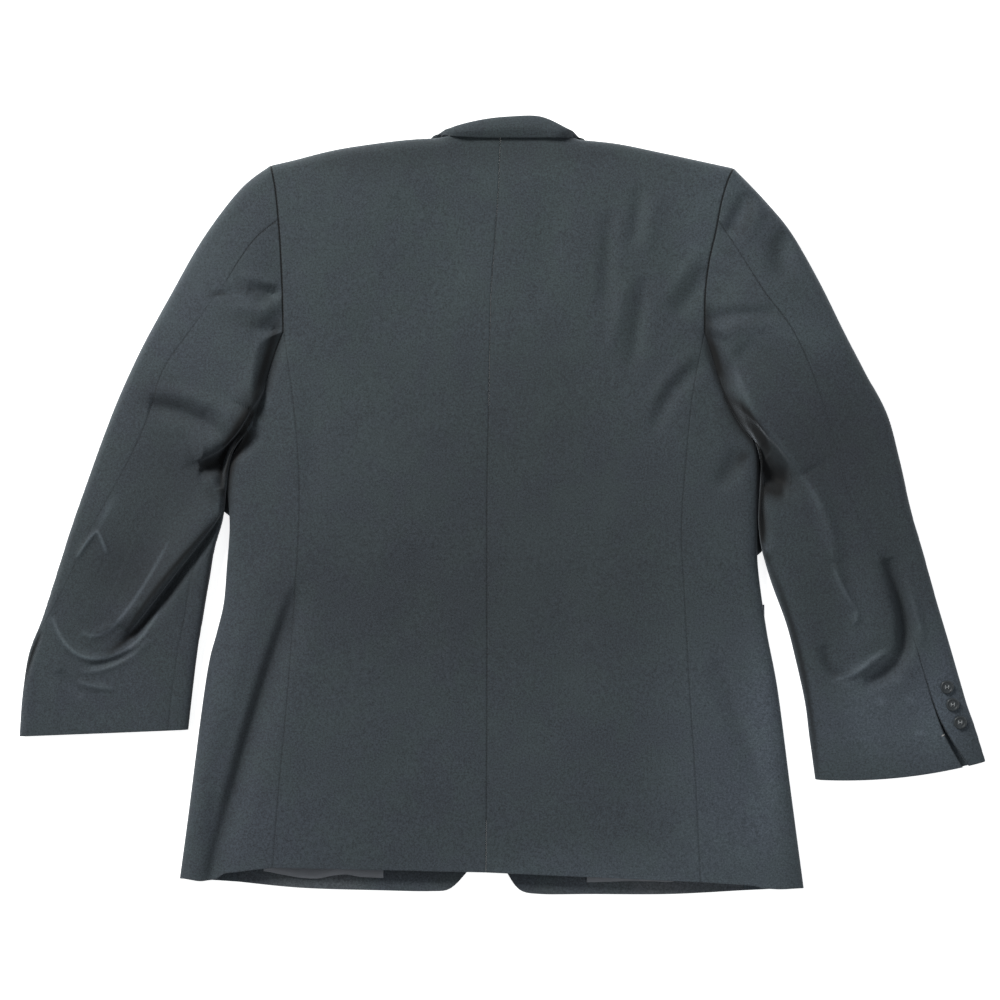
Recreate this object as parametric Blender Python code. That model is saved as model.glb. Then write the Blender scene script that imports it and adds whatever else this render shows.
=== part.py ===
"""A single-breasted sport coat lying face down on a flat surface, sleeves spread.

Metres, +Z up, the collar towards +Y. The wearer's left is at -X. The underside is at z = 0.
Every cloth piece is a wall of its own: an outer surface worked out from seam lines, section
tables and folds, and an inner surface one cloth thickness inside it. Tables are in millimetres.
"""
import math

import bmesh
import bpy
import numpy as np
from mathutils import Matrix, Vector

MM = 0.001

# Cloth and seams
CLOTH = 1.6            # wall of the backs, sides, sleeves and fronts
COLLAR_CLOTH = 2.2     # collar with its canvas
LAPEL_CLOTH = 1.6
FLAP_CLOTH = 1.6
LINING_CLOTH = 1.0
SEAM_GAP = 0.3         # between neighbouring pieces
ARMHOLE_GAP = 0.5      # round the armholes, where the walls twist
LAYER_GAP = 0.4        # between pieces that lie on each other

# Sampling: rows run from the hem to the shoulder, columns across a piece
ROWS_LOW = 16
BACK_COLUMNS = 9
FRONT_COLUMNS = 9
SLEEVE_RINGS = 26
ARM_FRACTION = 0.72    # share of a body piece's rows that lies below the armhole
ARM_STEPS = (0, 0.17, 0.35, 0.52, 0.70, 0.81, 0.92, 0.96, 0.989, 1)
FRONT_ARM_STEPS = (0, 0.2, 0.4, 0.6, 0.8, 0.93, 0.965, 0.9905, 1)
SIDE_STEPS = (0, 0.2, 0.4, 0.61, 0.82, 0.91, 0.975, 1, 1.04, 1.14, 1.28, 1.64, 2)
SHOULDER_ROLL = 0.08   # share of the armhole's height over which the shoulder turns down
FRONT_SHOULDER_ROLL = 0.07
SIDE_ROLL_TOP = 0.18   # shares of the side piece's upper and lower spans in its rolled edge
SIDE_ROLL_LOW = 0.28
SLEEVE_ROLL = 0.055
SLEEVE_SIDE_TOP = 0.63    # where the sleeve's ring passes from the back to the side piece
SLEEVE_SIDE_LOW = 0.71    # and from the side piece to the front, underneath

# Thickness of the coat as it lies, outer face of the upper cloth
BODY_HEIGHT = (
    # y, height
    (-405, 13.5), (-300, 14.8), (-150, 17.0), (0, 19.0), (120, 20.5), (200, 22.5),
    (280, 24.5), (340, 25.5), (400, 24.0))
PADS = (
    # x, y, radius, height
    (-188, 322, 75, 3.0), (188, 320, 75, 3.0))

# Seam lines, each from the hem upwards (x, y)
CENTRE_BACK = ((-17, -382), (-16, -203), (-16, 5), (-14, 109), (-12, 213), (-7, 286), (-4, 330), (-2, 385))
SIDE_BACK = {
    "left": ((-239, -377), (-232, -290), (-224, -205), (-217, -110), (-212, -35), (-211, 25), (-216, 98),
             (-227, 180)),
    "right": ((206, -392), (201, -290), (195, -200), (189, -90), (186, -25), (191, 50), (198, 117), (210, 179))}
ARMHOLE_BACK = {
    "left": ((-227, 180), (-228, 224), (-229, 250), (-231, 286), (-235, 328), (-240, 353)),
    "right": ((210, 179), (210, 217), (214, 252), (221, 284), (227, 315), (234, 338), (240, 350))}
SIDE_EDGE = {
    "left": ((-336, -389), (-327, -322), (-314, -213), (-300, -119), (-289, -36), (-286.5, 5), (-282, 44),
             (-262, 76)),
    "right": ((314, -399), (300, -294), (287, -194), (275, -130), (266, -65), (264.5, -10), (267, 36),
              (262, 66))}
UNDERARM = {
    # where the side piece meets the sleeve, from the back seam to the rolled edge
    "left": ((-227, 180), (-234, 163), (-242, 138), (-247, 118), (-254, 98), (-262, 76)),
    "right": ((210, 179), (217, 158), (228, 122), (243, 90), (262, 66))}
SIDE_FRONT = {
    "left": ((-276, -393), (-262, -300), (-252, -205), (-240, -110), (-230, -30), (-226, 40), (-222, 100),
             (-212, 158)),
    "right": ((252, -402), (240, -300), (230, -205), (220, -110), (208, -30), (206, 40), (202, 100), (196, 155))}
ARMHOLE_FRONT = {
    "left": ((-212, 158), (-198, 190), (-192, 235), (-197, 285), (-215, 325), (-240, 353)),
    "right": ((196, 155), (183, 190), (178, 235), (186, 285), (208, 322), (240, 350))}
SHOULDER = {
    "left": ((-240, 353), (-218, 358), (-169, 370), (-106, 379), (-68, 381.5)),
    "right": ((240, 350), (217, 355), (164, 366.5), (120, 375.5), (82, 379))}
NECK_BACK = {
    "left": ((-68, 381.5), (-48, 384), (-24, 385), (-2, 385)),
    "right": ((82, 379), (62, 382.5), (32, 385), (-2, 385))}
SHOULDER_SHARE = 0.72     # share of a back's top edge that is shoulder, the rest is neck
FRONT_EDGE = {
    # hem corner, cutaway, button stand, roll line, neckline
    "left": ((-36, -382), (-14, -320), (3, -240), (9, -154), (9, -46), (-12, 90), (-32, 210), (-52, 322),
             (-62, 352), (-68, 381.5)),
    "right": ((5, -384), (-16, -320), (-30, -240), (-34, -154), (-34, -46), (0, 90), (34, 210), (64, 320),
              (75, 350), (82, 379))}
FRONT_HEM = {
    "left": ((-276, -393), (-209, -398), (-130, -400), (-75, -401), (-54, -398), (-36, -382)),
    "right": ((252, -402), (174, -405), (92, -404), (40, -404), (20, -400), (5, -384))}

# Soft folds of the upper body cloth: a ridge where height is positive, a trough where negative
BODY_FOLDS = (
    # x0, y0, xm, ym, x1, y1, half width, height
    (-221, -99, -250, -200, -317, -386, 15, -2.4),     # left skirt trough
    (-250, -60, -280, -160, -325, -330, 14, 1.2),      # ridge outside it
    (219, -147, 240, -200, 259, -266, 13, -1.3),       # right skirt trough
    (249, 58, 240, 40, 224, 18, 11, -2.4),             # dip below the right armhole
    (-221, 348, -150, 300, -106, 255, 22, 1.0),        # left shoulder blade
    (209, 247, 190, 225, 164, 204, 16, 1.1),           # right shoulder blade
    (191, 145, 180, 130, 164, 118, 14, 0.8),
    (-200, 120, -190, 60, -205, 10, 14, -1.0))

SLEEVE_SECTIONS = {
    # outer x, outer y, inner x, inner y, height, bow, elbow seam, inseam
    "left": (
        (-240, 353, -262, 76, 29, 0, 0.105, 0.600),
        (-271, 329, -266.5, 72.5, 29, 0, 0.098, 0.590),
        (-310, 278, -271.5, 67.5, 31, 0, 0.105, 0.575),
        (-345, 217, -276.5, 61, 31, 0, 0.120, 0.560),
        (-374, 164, -281, 52, 30, 0, 0.108, 0.548),
        (-397, 115, -284.8, 36, 28, 0, 0.130, 0.535),
        (-415, 70, -287, 14, 26, 0, 0.125, 0.520),
        (-431, 26, -290.5, -15, 24, 0, 0.100, 0.490),
        (-448, -22, -299, -45, 22, 0, 0.070, 0.455),
        (-464, -72, -305, -80, 20, 0, 0.047, 0.440),
        (-479, -118, -311, -115, 18, 0, 0.018, 0.444),
        (-493, -155, -317, -150, 16, 0, -0.004, 0.443),
        (-500, -200, -322, -190, 14, 0, -0.006, 0.441),
        (-503, -241, -327, -234, 12, 0, -0.006, 0.440)),
    "right": (
        (240, 350, 262, 66, 29, 0, 0.105, 0.600),
        (270, 319, 264.8, 62, 29, 0, 0.130, 0.590),
        (299, 284, 266.8, 55, 31, 0, 0.150, 0.578),
        (328, 234, 268.2, 45, 31, 0, 0.142, 0.566),
        (354, 182, 268.2, 33, 30, 0, 0.150, 0.558),
        (377, 138, 267.5, 18, 28, 0, 0.170, 0.552),
        (400, 95, 266.4, 0, 26, 0, 0.190, 0.550),
        (413, 48, 266.2, -20, 25, 0, 0.190, 0.548),
        (425, -5, 270, -47, 23, 0, 0.168, 0.546),
        (437, -46, 281, -84, 21, 0, 0.140, 0.545),
        (451, -96, 295, -122, 19, 0, 0.116, 0.544),
        (465, -143, 305, -160, 17, 1, 0.108, 0.543),
        (482, -201, 315, -205, 15, 3, 0.104, 0.542),
        (493, -233, 320, -243, 13, 5, 0.092, 0.541),
        (503.5, -267, 326, -286, 12, 7, 0.060, 0.540))}
SLEEVE_CROWN = 0.45       # share of the section's roundness that is domed, the rest is boxed
BOW_REACH = 0.60          # how far down the sleeve the armhole's curve is felt, above
LOW_BOW_REACH = 0.30      # and underneath
SEAM_SHARE = SEAM_GAP / 2 / 380   # half a seam's gap as a share of the way round
EDGE_CROWDING = (0.12, 0.02)   # how closely columns crowd towards the sleeve's two edges
SEAM_REACH = 0.10         # how far down it keeps the armhole's height

SLEEVE_FOLDS = {
    # x0, y0, xm, ym, x1, y1, half width, height
    "left": (
        (-250, 128, -276, 96, -318, 50, 13, 3.5),       # lip over the underarm hollow
        (-312, 36, -284, 40, -262, 74, 14, -11),        # underarm hollow
        (-288, 2, -338, -62, -420, -140, 15, 5),        # crescent ridge
        (-300, -26, -352, -84, -396, -150, 14, -6),     # crescent trough
        (-468, -116, -430, -186, -352, -108, 13, 2.5),  # lower crest
        (-275, 228, -254, 222, -233, 214, 8, -2.5),     # crease by the armhole
        (-352, 109, -310, 84, -284, 74, 14, -4),        # elbow trough
        (-440, -54, -420, -24, -408, -50, 7, 1.5),
        (-276, 246, -262, 236, -240, 210, 12, -2)),
    "right": (
        (228, 196, 260, 100, 308, 24, 13, 3.5),
        (262, 48, 282, 24, 306, 32, 15, -10),
        (270, 4, 274, -14, 270, -44, 13, -4),
        (314, 18, 340, -40, 368, -112, 14, 5),          # bright ridge
        (396, -64, 415, -130, 384, -166, 16, -4),       # crescent trough
        (336, -168, 352, -190, 386, -158, 12, 2.5),     # lower crest
        (258, 164, 300, 120, 312, 80, 26, -5),          # broad hollow
        (230, 180, 262, 186, 290, 198, 9, -2),
        (268, 320, 282, 280, 296, 225, 15, -1.5),
        (249, 318, 252, 300, 252, 280, 10, -1.5))}

# What lies under the fronts, sides and left cuff and lifts them
BEDS = {
    # x0, y0, x1, y1, reach, rise, ramp
    "lapel_left": (-20, 45, -92, 285, 58, 2.0, 34),
    "lapel_right": (14, 45, 103, 285, 62, 2.8, 34),
    "flap_left": (-158, -130, -265, -136, 48, 2.0, 28),
    "flap_right": (142, -132, 250, -134, 48, 2.0, 28),
    "collar_left": (-80, 310, -78, 366, 40, 2.8, 26),
    "collar_right": (92, 308, 92, 364, 40, 2.8, 26),
    "front_buttons": (-12, -46, -12, -154, 34, 3.6, 70),
    "cuff_buttons": (-484, -163, -487, -208, 22, 3.0, 14)}
LAPEL_START = 0      # the lapels' lower ends, above the top button (y)
LEFT_OVERLAP = (14, 46)   # how far past the left front's edge what lies on it stays raised, and its ramp
OVERLAP_STEP = CLOTH + 1.2   # from the left front to what crosses it

# Collar: foot on the neckline, crease, and outer edge; lean is the way the fall faces
COLLAR_SECTIONS = (
    # foot x, y, z,  crease x, y, z,  edge x, y, z,  half thickness, lean in degrees, bulge
    (-51, 323, 5.0, -44, 327, 2.5, -108, 296, 0.0, 2.5, -90, 0.0),
    (-60, 350, 5.2, -50, 352, 2.6, -104, 338, 0.0, 2.6, -90, 0.0),
    (-63.5, 368, 5.6, -54, 372, 2.8, -94, 362, 0.0, 2.7, -90, 0.0),
    (-62.5, 380, 9.5, -55.5, 384.5, 7.0, -80, 380.5, 0.2, 2.7, -50, 0.0),
    (-62, 384.0, 14.5, -57, 390, 16.0, -70.5, 388.0, 6.0, 2.7, 15, 0.5),
    (-49, 385.6, 22.6, -48, 393, 25.6, -50, 381.5, 27.6, 2.8, 80, 1.5),
    (-20, 386.2, 22.8, -20, 401, 26.4, -20, 380.0, 27.8, 3.4, 90, 2.2),
    (8, 386.2, 22.8, 8, 404.4, 26.6, 8, 380.0, 27.8, 3.4, 90, 2.2),
    (38, 386.2, 22.8, 38, 404, 26.4, 38, 380.0, 27.8, 3.4, 90, 2.2),
    (63, 384.0, 22.6, 61, 394, 25.6, 64, 381.0, 27.6, 2.8, 80, 1.5),
    (76, 382, 14.5, 71, 388, 16.0, 85, 386.0, 6.0, 2.7, 15, 0.5),
    (76.5, 377.5, 9.5, 69.5, 382, 7.0, 94, 378.0, 0.2, 2.7, -50, 0.0),
    (76, 366, 5.6, 66, 370, 2.8, 108, 360, 0.0, 2.7, -90, 0.0),
    (72.5, 349, 5.2, 62, 351, 2.6, 118, 336, 0.0, 2.6, -90, 0.0),
    (62, 322, 5.0, 54, 326, 2.5, 120, 294, 0.0, 2.5, -90, 0.0))
NECK_CENTRE = (7, 345)
COLLAR_RINGS = 36
COLLAR_STEPS = (0, 0.6, 1.2, 2, 2.5, 3, 3.5, 4, 4.6, 5.3, 6)   # stops from the foot to the edge

LAPEL_OUTER = {"left": ((-5, LAPEL_START), (-60, 95), (-104, 190), (-131, 262)),
               "right": ((-12, LAPEL_START), (68, 95), (115, 190), (143, 260))}
LAPEL_TOP = {"left": ((-131, 262), (-86, 304), (-52, 319)),
             "right": ((143, 260), (98, 302), (64, 317))}
LAPEL_ROLL = {"left": ((2, LAPEL_START), (-12, 90), (-32, 210), (-52, 319)),
              "right": ((-21, LAPEL_START), (0, 90), (34, 210), (64, 317))}

FLAP_CORNERS = {
    # inner top, outer top, outer bottom, inner bottom
    "left": ((-142, -102), (-290, -110), (-290, -163), (-138, -157)),
    "right": ((126, -104), (273.5, -104), (274, -163), (122, -160))}
LINING_SPANS = {
    # x0, x1, lower y at x0, lower y at x1, height of the strip
    "left": (-249, -124, -391, -394, 62),
    "right": (88, 187, -395, -395, 62)}

# Buttons
FRONT_BUTTON = {"radius": 10.0, "height": 3.2}
CUFF_BUTTON = {"radius": 6.8, "height": 2.6}
FRONT_BUTTONS = ((-12, -46), (-12, -154))
CUFF_BUTTONS = {"left": ((-483, -166), (-485, -185), (-486.5, -204)),
                "right": ((462, -189), (468, -207), (476, -226))}

COLOURS = {
    "cloth": (0.053, 0.065, 0.072),
    "lining": (0.085, 0.088, 0.095),
    "button": (0.030, 0.033, 0.037)}


# ---------------------------------------------------------------- lines and patches

def smooth(t):
    """A soft step from 0 to 1."""
    t = np.clip(t, 0.0, 1.0)
    return t * t * (3 - 2 * t)


def roll(d):
    """Height of a rolled edge at d, its distance from the edge as a share of the roll's depth."""
    return np.sqrt(np.maximum(0.0, 1 - (1 - np.clip(d, 0, 1)) ** 2))


def rows_at(table, index):
    """Read a table between its rows with a smooth curve through them."""
    table = np.asarray(table, float)
    last = len(table) - 1
    index = np.clip(index, 0, last)
    low = np.minimum(index.astype(int), last - 1)
    f = (index - low)[..., None]
    a, b = table[np.maximum(low - 1, 0)], table[low]
    c, d = table[low + 1], table[np.minimum(low + 2, last)]
    return 0.5 * (2 * b + (c - a) * f + (2 * a - 5 * b + 4 * c - d) * f ** 2
                  + (3 * b - 3 * c + d - a) * f ** 3)


def line_at(points, t):
    """A smooth line through points, read by its length from 0 to 1."""
    points = np.asarray(points, float)
    lengths = np.linalg.norm(np.diff(points, axis=0), axis=1)
    knots = np.concatenate(([0.0], np.cumsum(lengths))) / lengths.sum()
    return rows_at(points, np.interp(t, knots, np.arange(len(points))))


def two_lines(low, high, share, t):
    """Two lines end to end: low up to share, high above it."""
    below = line_at(low, np.clip(t / share, 0, 1))
    above = line_at(high, np.clip((t - share) / (1 - share), 0, 1))
    return np.where((t <= share)[..., None], below, above)


def patch(left, right, bottom, top, u, v):
    """A point inside four border lines, u across from left to right and v from bottom to top."""
    u1, v1 = u[..., None], v[..., None]
    zero, one = np.zeros_like(u), np.ones_like(u)
    ruled = (1 - u1) * left(v) + u1 * right(v) + (1 - v1) * bottom(u) + v1 * top(u)
    corners = ((1 - u1) * (1 - v1) * left(zero) + u1 * (1 - v1) * right(zero)
               + (1 - u1) * v1 * left(one) + u1 * v1 * right(one))
    return ruled - corners


def fold_height(plan, folds):
    """Sum of the folds' ridges and troughs at plan points."""
    total = np.zeros(plan.shape[:-1])
    t = np.linspace(0, 1, 11)[:, None]
    for x0, y0, xm, ym, x1, y1, half_width, height in folds:
        start, middle, end = np.array((x0, y0)), np.array((xm, ym)), np.array((x1, y1))
        course = (1 - t) ** 2 * start + 2 * t * (1 - t) * middle + t ** 2 * end
        a, step = course[:-1], np.diff(course, axis=0)
        offset = plan[..., None, :] - a
        along = np.clip((offset * step).sum(-1) / (step ** 2).sum(-1), 0, 1)
        distance = np.linalg.norm(offset - along[..., None] * step, axis=-1)
        nearest = distance.argmin(-1)
        d = np.take_along_axis(distance, nearest[..., None], -1)[..., 0]
        share = (nearest + np.take_along_axis(along, nearest[..., None], -1)[..., 0]) / len(a)
        ends = np.sqrt(np.clip(4 * share * (1 - share), 0, 1)) * 0.8 + 0.2
        total += height * ends * np.exp(-(d / half_width) ** 2)
    return total


def bed_height(plan, *names):
    """How far cloth is lifted by the pieces beneath it."""
    lift = np.zeros(plan.shape[:-1])
    for x0, y0, x1, y1, reach, rise, ramp in (BEDS[name] for name in names):
        start, step = np.array((x0, y0)), np.array((x1 - x0, y1 - y0))
        offset = plan - start
        along = np.clip((offset * step).sum(-1) / (step @ step), 0, 1)
        outside = np.linalg.norm(offset - along[..., None] * step, axis=-1) - reach
        lift = np.maximum(lift, rise * (1 - smooth(outside / ramp)))
    return lift


# ---------------------------------------------------------------- surfaces of the body

def body_height(plan):
    """Outer height of the upper cloth."""
    table = np.asarray(BODY_HEIGHT, float)
    height = np.interp(plan[..., 1], table[:, 0], table[:, 1])
    for x, y, radius, rise in PADS:
        height = height + rise * np.exp(-((plan[..., 0] - x) ** 2 + (plan[..., 1] - y) ** 2) / radius ** 2)
    return height


def left_front_floor(plan):
    return bed_height(plan, "lapel_left", "flap_left", "collar_left", "front_buttons")


def on_left_front(plan):
    """1 over the left front's edge, easing to 0 beyond it and towards the neck."""
    edge = line_at(FRONT_EDGE["left"], np.linspace(0, 1, 60))
    reach = np.interp(plan[..., 1], edge[:, 1], edge[:, 0])
    margin, ramp = LEFT_OVERLAP
    beyond = smooth((plan[..., 0] - reach - margin) / ramp)
    return (1 - beyond) * (1 - smooth((plan[..., 1] - 70) / 50))


def right_lapel_floor(plan):
    return (left_front_floor(plan) + OVERLAP_STEP) * on_left_front(plan)


def front_floor(side, plan):
    """Outer height of a front's cloth, above the surface that the coat lies on."""
    if side == "left":
        return left_front_floor(plan)
    lift = bed_height(plan, "flap_right", "collar_right")
    over_left = (left_front_floor(plan) + OVERLAP_STEP) * on_left_front(plan)
    return np.maximum(lift, over_left + bed_height(plan, "lapel_right"))


def side_floor(side, plan):
    return bed_height(plan, "flap_" + side)


def back_surface(side, u, v):
    """A back half: u from its side seam to the centre seam, v from the hem to the shoulder."""
    def outer(t):
        return two_lines(SIDE_BACK[side], ARMHOLE_BACK[side], ARM_FRACTION, t)

    def centre(t):
        return line_at(CENTRE_BACK, t)

    def hem(t):
        return outer(np.zeros_like(t)) * (1 - t[..., None]) + centre(np.zeros_like(t)) * t[..., None]

    def top(t):
        return two_lines(SHOULDER[side], NECK_BACK[side], SHOULDER_SHARE, t)

    inset = SEAM_GAP / 2 / 225
    plan = patch(outer, centre, hem, top, inset + u * (1 - 2 * inset), v)
    height = body_height(plan) + fold_height(plan, BODY_FOLDS)
    turn = roll((1 - v) / (1 - ARM_FRACTION) / SHOULDER_ROLL)
    turn = turn + (1 - turn) * smooth((u - SHOULDER_SHARE) / 0.10)
    middle = height / 2 + SEAM_GAP / 2
    return np.concatenate((plan, (middle + (height - middle) * turn)[..., None]), -1)


def side_surface(side, q, v):
    """A side piece: q from the back seam (0) round the rolled edge (1) to the front seam (2)."""
    def edge(t):
        return line_at(SIDE_EDGE[side], t)

    def back_seam(t):
        return line_at(SIDE_BACK[side], t)

    def front_seam(t):
        return line_at(SIDE_FRONT[side], t)

    def across(line, level):
        def border(t):
            start, end = line(np.full_like(t, level)), edge(np.full_like(t, level))
            return start + (end - start) * t[..., None]
        return border

    def underarm(t):
        return line_at(UNDERARM[side], t)

    def span(line, share, high=None):
        return patch(line, edge, across(line, 0.0), high or across(line, 1.0), share, v)

    inset = SEAM_GAP / 2 / 80
    upper = span(back_seam, np.clip(inset + q * (1 - inset), 0, 1), underarm)
    lower = span(front_seam, np.clip((2 - q) * (1 - inset) + inset, 0, 1))
    plan = np.where((q <= 1)[..., None], upper, lower)
    height = body_height(plan) + fold_height(plan, BODY_FOLDS)
    floor = side_floor(side, plan)
    middle = (height + floor) / 2
    top = middle + (height - middle) * roll((1 - q) / SIDE_ROLL_TOP)
    low = middle - (middle - floor) * roll((q - 1) / SIDE_ROLL_LOW)
    return np.concatenate((plan, np.where(q <= 1, top, low)[..., None]), -1)


def front_surface(side, u, v):
    """A front: u from its side seam to its front edge, v from the hem to the shoulder."""
    def outer(t):
        return two_lines(SIDE_FRONT[side], ARMHOLE_FRONT[side], ARM_FRACTION, t)

    def edge(t):
        return line_at(FRONT_EDGE[side], t)

    def hem(t):
        return line_at(FRONT_HEM[side], t)

    def top(t):
        return line_at(SHOULDER[side], t)

    inset = SEAM_GAP / 2 / 225
    plan = patch(outer, edge, hem, top, inset + u * (1 - inset), v)
    floor = front_floor(side, plan)
    turn = roll((1 - v) / (1 - ARM_FRACTION) / FRONT_SHOULDER_ROLL)
    middle = body_height(plan) / 2 - SEAM_GAP / 2
    return np.concatenate((plan, (middle + (floor - middle) * turn)[..., None]), -1)


# ---------------------------------------------------------------- surfaces of the sleeve

def ring_place(w):
    """Place round a sleeve's ring: share across it, and whether it is on the upper side."""
    w = np.mod(w, 1.0)
    return np.where(w <= 0.5, 2 * w, 2 - 2 * w), w <= 0.5


def body_point(surface, side, a, b):
    return surface(side, a, b)


def armhole_loop(side, w, read=body_point):
    """Round the armhole: what read makes of the body's surfaces, its points unless told otherwise."""
    s, upper = ring_place(w)
    one = np.ones_like(s)
    on_back = read(back_surface, side, 0 * s, 1 - (1 - ARM_FRACTION) * np.clip(s / SLEEVE_SIDE_TOP, 0, 1))
    on_side = read(side_surface, side, np.clip((s - SLEEVE_SIDE_TOP) / (1 - SLEEVE_SIDE_TOP), 0, 1), one)
    below_side = read(side_surface, side, 1 + np.clip((1 - s) / (1 - SLEEVE_SIDE_LOW), 0, 1), one)
    on_front = read(front_surface, side, 0 * s, 1 - (1 - ARM_FRACTION) * np.clip(s / SLEEVE_SIDE_LOW, 0, 1))
    top = np.where((s <= SLEEVE_SIDE_TOP)[..., None], on_back, on_side)
    low = np.where((s < SLEEVE_SIDE_LOW)[..., None], on_front, below_side)
    return np.where(upper[..., None], top, low)


def tube(side, w, v):
    """The free sleeve: a flattened tube whose sections come from the table."""
    table = np.asarray(SLEEVE_SECTIONS[side], float)
    row = rows_at(table, v * (len(table) - 1))
    s, upper = ring_place(w)
    outer, inner, height, bow = row[..., 0:2], row[..., 2:4], row[..., 4], row[..., 5]
    chord = inner - outer
    toward_cuff = np.stack((chord[..., 1], -chord[..., 0]), -1) / np.linalg.norm(chord, axis=-1)[..., None]
    if side == "left":
        toward_cuff = -toward_cuff
    plan = outer + chord * s[..., None] - toward_cuff * (bow * 4 * s * (1 - s))[..., None]
    edge = roll(np.minimum(s, 1 - s) / SLEEVE_ROLL)
    dome = np.sqrt(np.maximum(0, 1 - (2 * s - 1) ** 2))
    folds = fold_height(plan, SLEEVE_FOLDS[side]) * smooth(np.minimum(s, 1 - s) / SLEEVE_ROLL)
    top = height / 2 * (1 + edge * (1 - SLEEVE_CROWN) + dome * SLEEVE_CROWN) + folds
    floor = bed_height(plan, "cuff_buttons")
    low = height / 2 - (height / 2 - floor) * edge
    return np.concatenate((plan, np.where(upper, top, low)[..., None]), -1)


def sleeve_surface(side, w, v):
    """The sleeve from the armhole (v = 0) to the cuff (v = 1)."""
    body = armhole_loop(side, w)
    away = np.array((-1, 0.6, 0) if side == "left" else (1, 0.6, 0)) * ARMHOLE_GAP
    change = body + away - tube(side, w, 0 * v)
    reach = np.where(ring_place(w)[1], BOW_REACH, LOW_BOW_REACH)
    near = (np.clip(1 - v / reach, 0, 1) ** 2)[..., None] * np.array((1, 1, 0))
    seam = (1 - smooth(v / SEAM_REACH))[..., None] * np.array((0, 0, 1))
    return tube(side, w, v) + change * (near + seam)


def sleeve_seam(side, column, v):
    """Place round the ring of the elbow seam or the inseam."""
    table = np.asarray(SLEEVE_SECTIONS[side], float)
    return rows_at(table, v * (len(table) - 1))[..., column]


# ---------------------------------------------------------------- walls

def normals_of(surface, a, b, step=1e-4):
    """Unit normals of a surface by small steps each way, kept inside the piece."""
    a0, a1 = np.clip(a - step, a.min(), a.max()), np.clip(a + step, a.min(), a.max())
    b0, b1 = np.clip(b - step, b.min(), b.max()), np.clip(b + step, b.min(), b.max())
    cross = np.cross(surface(a1, b) - surface(a0, b), surface(a, b1) - surface(a, b0))
    return cross / np.maximum(np.linalg.norm(cross, axis=-1), 1e-12)[..., None]


def make_material(name):
    material = bpy.data.materials.new(name)
    material.use_nodes = True
    shader = material.node_tree.nodes["Principled BSDF"]
    shader.inputs["Base Color"].default_value = (*COLOURS[name], 1)
    shader.inputs["Roughness"].default_value = {"cloth": 0.85, "lining": 0.4, "button": 0.35}[name]
    shader.inputs["Metallic"].default_value = 0.0
    return material


def place_mesh(bm, name, material, collection):
    bmesh.ops.recalc_face_normals(bm, faces=bm.faces[:])
    if bm.calc_volume(signed=True) < 0:
        bmesh.ops.reverse_faces(bm, faces=bm.faces[:])
    mesh = bpy.data.meshes.new(name)
    bm.to_mesh(mesh)
    bm.free()
    mesh.materials.append(material)
    mesh.shade_smooth()
    mesh.set_sharp_from_angle(angle=math.radians(50))
    item = bpy.data.objects.new(name, mesh)
    collection.objects.link(item)
    return item


def make_wall(name, outer, inner, material, collection):
    """A cloth wall between two grids of points (rows, columns, xyz in millimetres)."""
    rows, columns = outer.shape[:2]
    bm = bmesh.new()
    place = bm.verts.layers.int.new("place")
    grid = bmesh.ops.create_grid(bm, x_segments=columns - 1, y_segments=rows - 1, size=1.0)
    outer_points, inner_points = outer.reshape(-1, 3) * MM, inner.reshape(-1, 3) * MM
    for index, vert in enumerate(grid["verts"]):
        vert[place] = index
        vert.co = Vector(outer_points[index])
    lining_side = bmesh.ops.extrude_face_region(bm, geom=bm.faces[:], use_keep_orig=True)
    for item in lining_side["geom"]:
        if isinstance(item, bmesh.types.BMVert):
            item.co = Vector(inner_points[item[place]])
    return place_mesh(bm, name, material, collection)


def body_rows(arm_steps):
    """Row places from the hem to the shoulder."""
    low = np.linspace(0, ARM_FRACTION, ROWS_LOW + 1)
    high = ARM_FRACTION + (1 - ARM_FRACTION) * np.array(arm_steps[1:])
    return np.concatenate((low, high))


def wall_from(name, surface, columns, rows, inward, material, collection):
    """A wall whose outer face is the surface; inward is its thickness, signed along the normal."""
    a, b = np.meshgrid(np.asarray(columns, float), np.asarray(rows, float))
    outer = surface(a, b)
    return make_wall(name, outer, outer + inward * normals_of(surface, a, b), material, collection)


def build_backs(material, collection):
    for side in ("left", "right"):
        def surface(u, v, side=side):
            return back_surface(side, u, v)
        columns = np.linspace(0, 1, BACK_COLUMNS + 1)
        inward = -CLOTH if side == "left" else CLOTH
        wall_from("back_" + side, surface, columns, body_rows(ARM_STEPS), inward, material, collection)


def build_sides(material, collection):
    rows = np.linspace(0, 1, ROWS_LOW + 1)
    for side in ("left", "right"):
        def surface(q, v, side=side):
            return side_surface(side, q, v)
        inward = CLOTH if side == "left" else -CLOTH
        wall_from("side_" + side, surface, SIDE_STEPS, rows, inward, material, collection)


def build_fronts(material, collection):
    for side in ("left", "right"):
        def surface(u, v, side=side):
            return front_surface(side, u, v)
        columns = np.linspace(0, 1, FRONT_COLUMNS + 1)
        inward = CLOTH if side == "left" else -CLOTH
        wall_from("front_" + side, surface, columns, body_rows(FRONT_ARM_STEPS), inward, material, collection)


def ring_samples():
    """Places round the ring that meet the body pieces' own points."""
    top = [SLEEVE_SIDE_TOP * (1 - step) / 2 for step in reversed(ARM_STEPS)]
    side_top = [step for step in SIDE_STEPS if 0 < step <= 1]
    top += [(SLEEVE_SIDE_TOP + (1 - SLEEVE_SIDE_TOP) * step) / 2 for step in side_top]
    side_low = [step - 1 for step in SIDE_STEPS if step > 1]
    low = [1 - (1 - (1 - SLEEVE_SIDE_LOW) * step) / 2 for step in side_low]
    low += [1 - SLEEVE_SIDE_LOW * (1 - step) / 2 for step in FRONT_ARM_STEPS[1:]]
    return np.array(top + low)


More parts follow.
